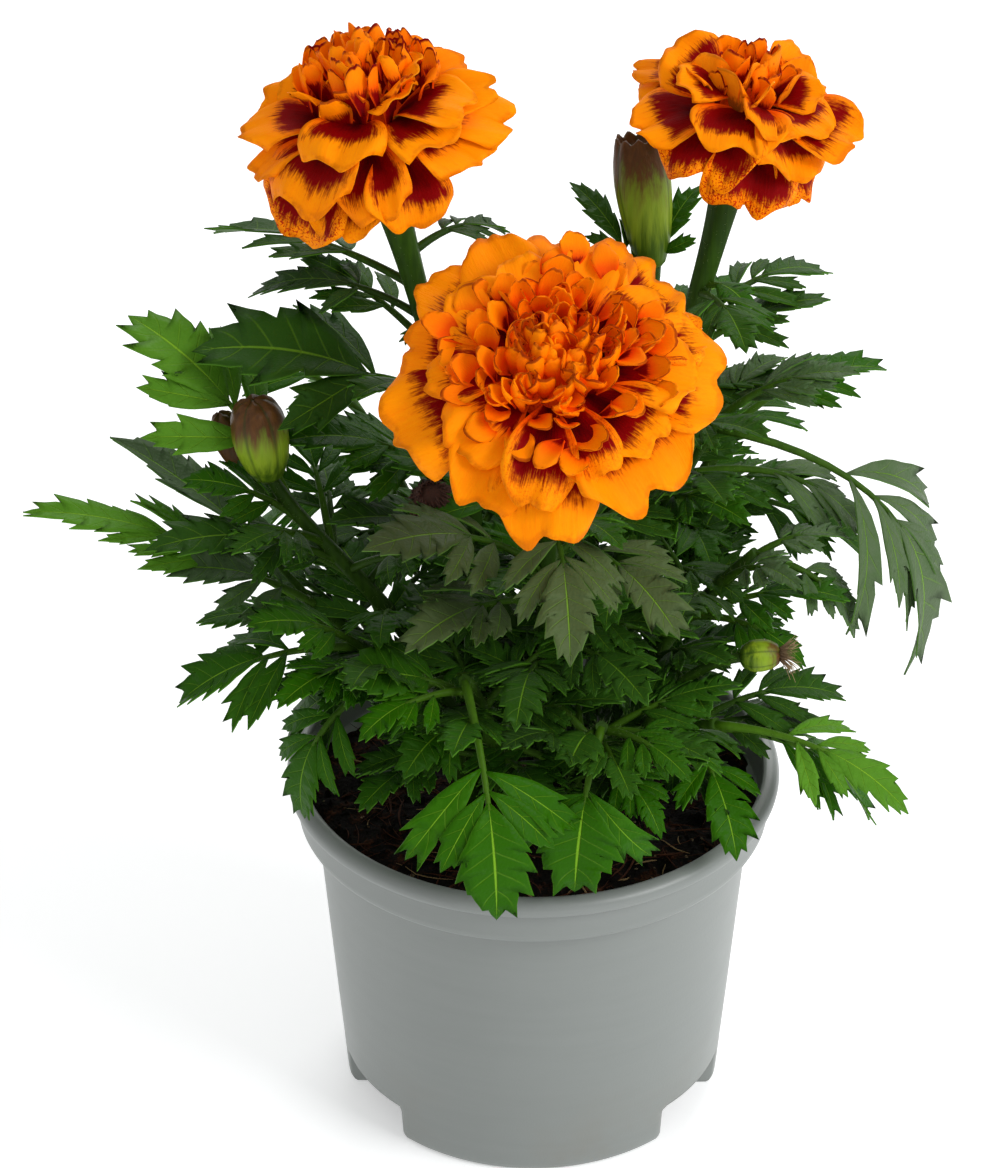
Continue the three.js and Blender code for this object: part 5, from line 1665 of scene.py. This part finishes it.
class MARIGOLD_OT_soil(bpy.types.Operator):
    """Make the soil with its crumbs and fibres"""

    bl_idname = "marigold.soil"
    bl_label = "Soil"

    def execute(self, context):
        settings = context.scene.marigold_pot
        draw = np.random.default_rng(11)
        surfaces = Surfaces()
        surfaces.add(*soil_surface())
        surfaces.add(*crumb_surfaces(settings.crumbs, draw))
        surfaces.make("peat_soil", ["peat"], ["soil"])
        strands = Surfaces()
        strands.add(*fibre_surfaces(settings.fibres, draw))
        strands.make("peat_fibres", ["peat_fibre"])
        return {"FINISHED"}


class MARIGOLD_OT_stalks(bpy.types.Operator):
    """Make the stalks with their cups and buds"""

    bl_idname = "marigold.stalks"
    bl_label = "Stalks, cups and buds"

    def execute(self, context):
        settings = context.scene.marigold_leaf
        lowest, spread = 0.2, 0.78
        t = lowest + spread * chance(np.arange(settings.hairs) * 1.7)
        for name, stem in STEMS.items():
            surfaces = Surfaces()
            for number, path in enumerate(stem["paths"]):
                swell = CUP_SWELL if "cup" in stem and number == 0 else 0
                surfaces.add(*stalk_surface(path, swell))
                radii = stalk_radii(path, t, swell)
                surfaces.add(*hair_surfaces(*cubic(path, t), radii, 50 * number))
            pods = list(stem.get("pods", []))
            if "cup" in stem:
                cup = stem["cup"]
                top = np.array(cup["top"], float)
                foot = top - unit(np.array(cup["axis"], float)) * CUP_LENGTH
                pods.append((foot, top, cup["radius"], "cup"))
            for foot, tip, radius, form in pods:
                surfaces.add(*pod_surface(foot, tip, radius, POD_FORMS[form]), finish=1)
            surfaces.make(name + "_stalk", ["stalk_green", "bract"], [name])
        return {"FINISHED"}


class MARIGOLD_OT_leaves(bpy.types.Operator):
    """Make the toothed leaves of every stem"""

    bl_idname = "marigold.leaves"
    bl_label = "Leaves"

    def execute(self, context):
        settings = context.scene.marigold_leaf
        for name in STEMS:
            surfaces = Surfaces()
            add_leaves(surfaces, leaves_of(name, settings.inner), settings.thickness / MM)
            surfaces.make(name + "_leaves", ["leaf_green", "stalk_green"], [name])
        return {"FINISHED"}


class MARIGOLD_OT_blooms(bpy.types.Operator):
    """Make the three blooms with their rings of petals and crowns of florets"""

    bl_idname = "marigold.blooms"
    bl_label = "Blooms"

    def execute(self, context):
        thickness = context.scene.marigold_bloom.thickness / MM
        for number, bloom in enumerate(BLOOMS):
            place = bloom_frame(bloom)
            seed = 100 + 200 * number
            surfaces = Surfaces()
            surfaces.add(*core_surface(bloom, place))
            for ring in range(len(bloom["rings"])):
                add_ring(surfaces, bloom, place, ring, seed, thickness)
            add_placed(surfaces, bloom, place, seed, thickness)
            for zone in range(len(bloom["zones"])):
                add_zone(surfaces, bloom, place, zone, seed, thickness)
            petals = bloom["name"] + "_petals"
            surfaces.make(petals + "_bloom", ["petal"], [petals])
        return {"FINISHED"}


class MARIGOLD_OT_withered(bpy.types.Operator):
    """Make the withered head and the dry florets on the right bud"""

    bl_idname = "marigold.withered"
    bl_label = "Withered parts"

    def execute(self, context):
        head = Surfaces()
        for points, faces in spent_surfaces():
            head.add(points, faces)
        head.make("withered_head", ["withered"], ["spent_head"])
        tuft = Surfaces()
        tuft.add(*tuft_surfaces())
        tuft.make("dry_florets", ["withered"], ["dry_tuft"])
        return {"FINISHED"}


STEPS = (MARIGOLD_OT_stage, MARIGOLD_OT_pot, MARIGOLD_OT_soil, MARIGOLD_OT_stalks,
         MARIGOLD_OT_leaves, MARIGOLD_OT_blooms, MARIGOLD_OT_withered)


class MARIGOLD_PT_sidebar(bpy.types.Panel):
    """The marigold's steps and settings"""

    bl_idname = "MARIGOLD_PT_sidebar"
    bl_label = "Marigold"
    bl_space_type = "VIEW_3D"
    bl_region_type = "UI"
    bl_category = "Marigold"

    def draw(self, context):
        for step in STEPS:
            self.layout.operator(step.bl_idname)
        for group in SETTINGS:
            owner = getattr(context.scene, group)
            box = self.layout.box()
            for key in owner.__annotations__:
                box.prop(owner, key)


SETTINGS = {
    "marigold_pot": PotSettings,
    "marigold_leaf": LeafSettings,
    "marigold_bloom": BloomSettings,
    "marigold_stage": StageSettings,
}
CLASSES = (*SETTINGS.values(), *STEPS, MARIGOLD_PT_sidebar)


def register():
    """Registers the classes and hangs their settings on the scene."""
    for one in CLASSES:
        bpy.utils.register_class(one)
    for name, group in SETTINGS.items():
        setattr(bpy.types.Scene, name, bpy.props.PointerProperty(type=group))


def unregister():
    """Takes the settings and the classes away again."""
    for name in SETTINGS:
        delattr(bpy.types.Scene, name)
    for one in reversed(CLASSES):
        bpy.utils.unregister_class(one)


def main():
    """Makes the whole marigold."""
    register()
    for step in STEPS:
        group, name = step.bl_idname.split(".")
        getattr(getattr(bpy.ops, group), name)()


if __name__ == "__main__":
    main()
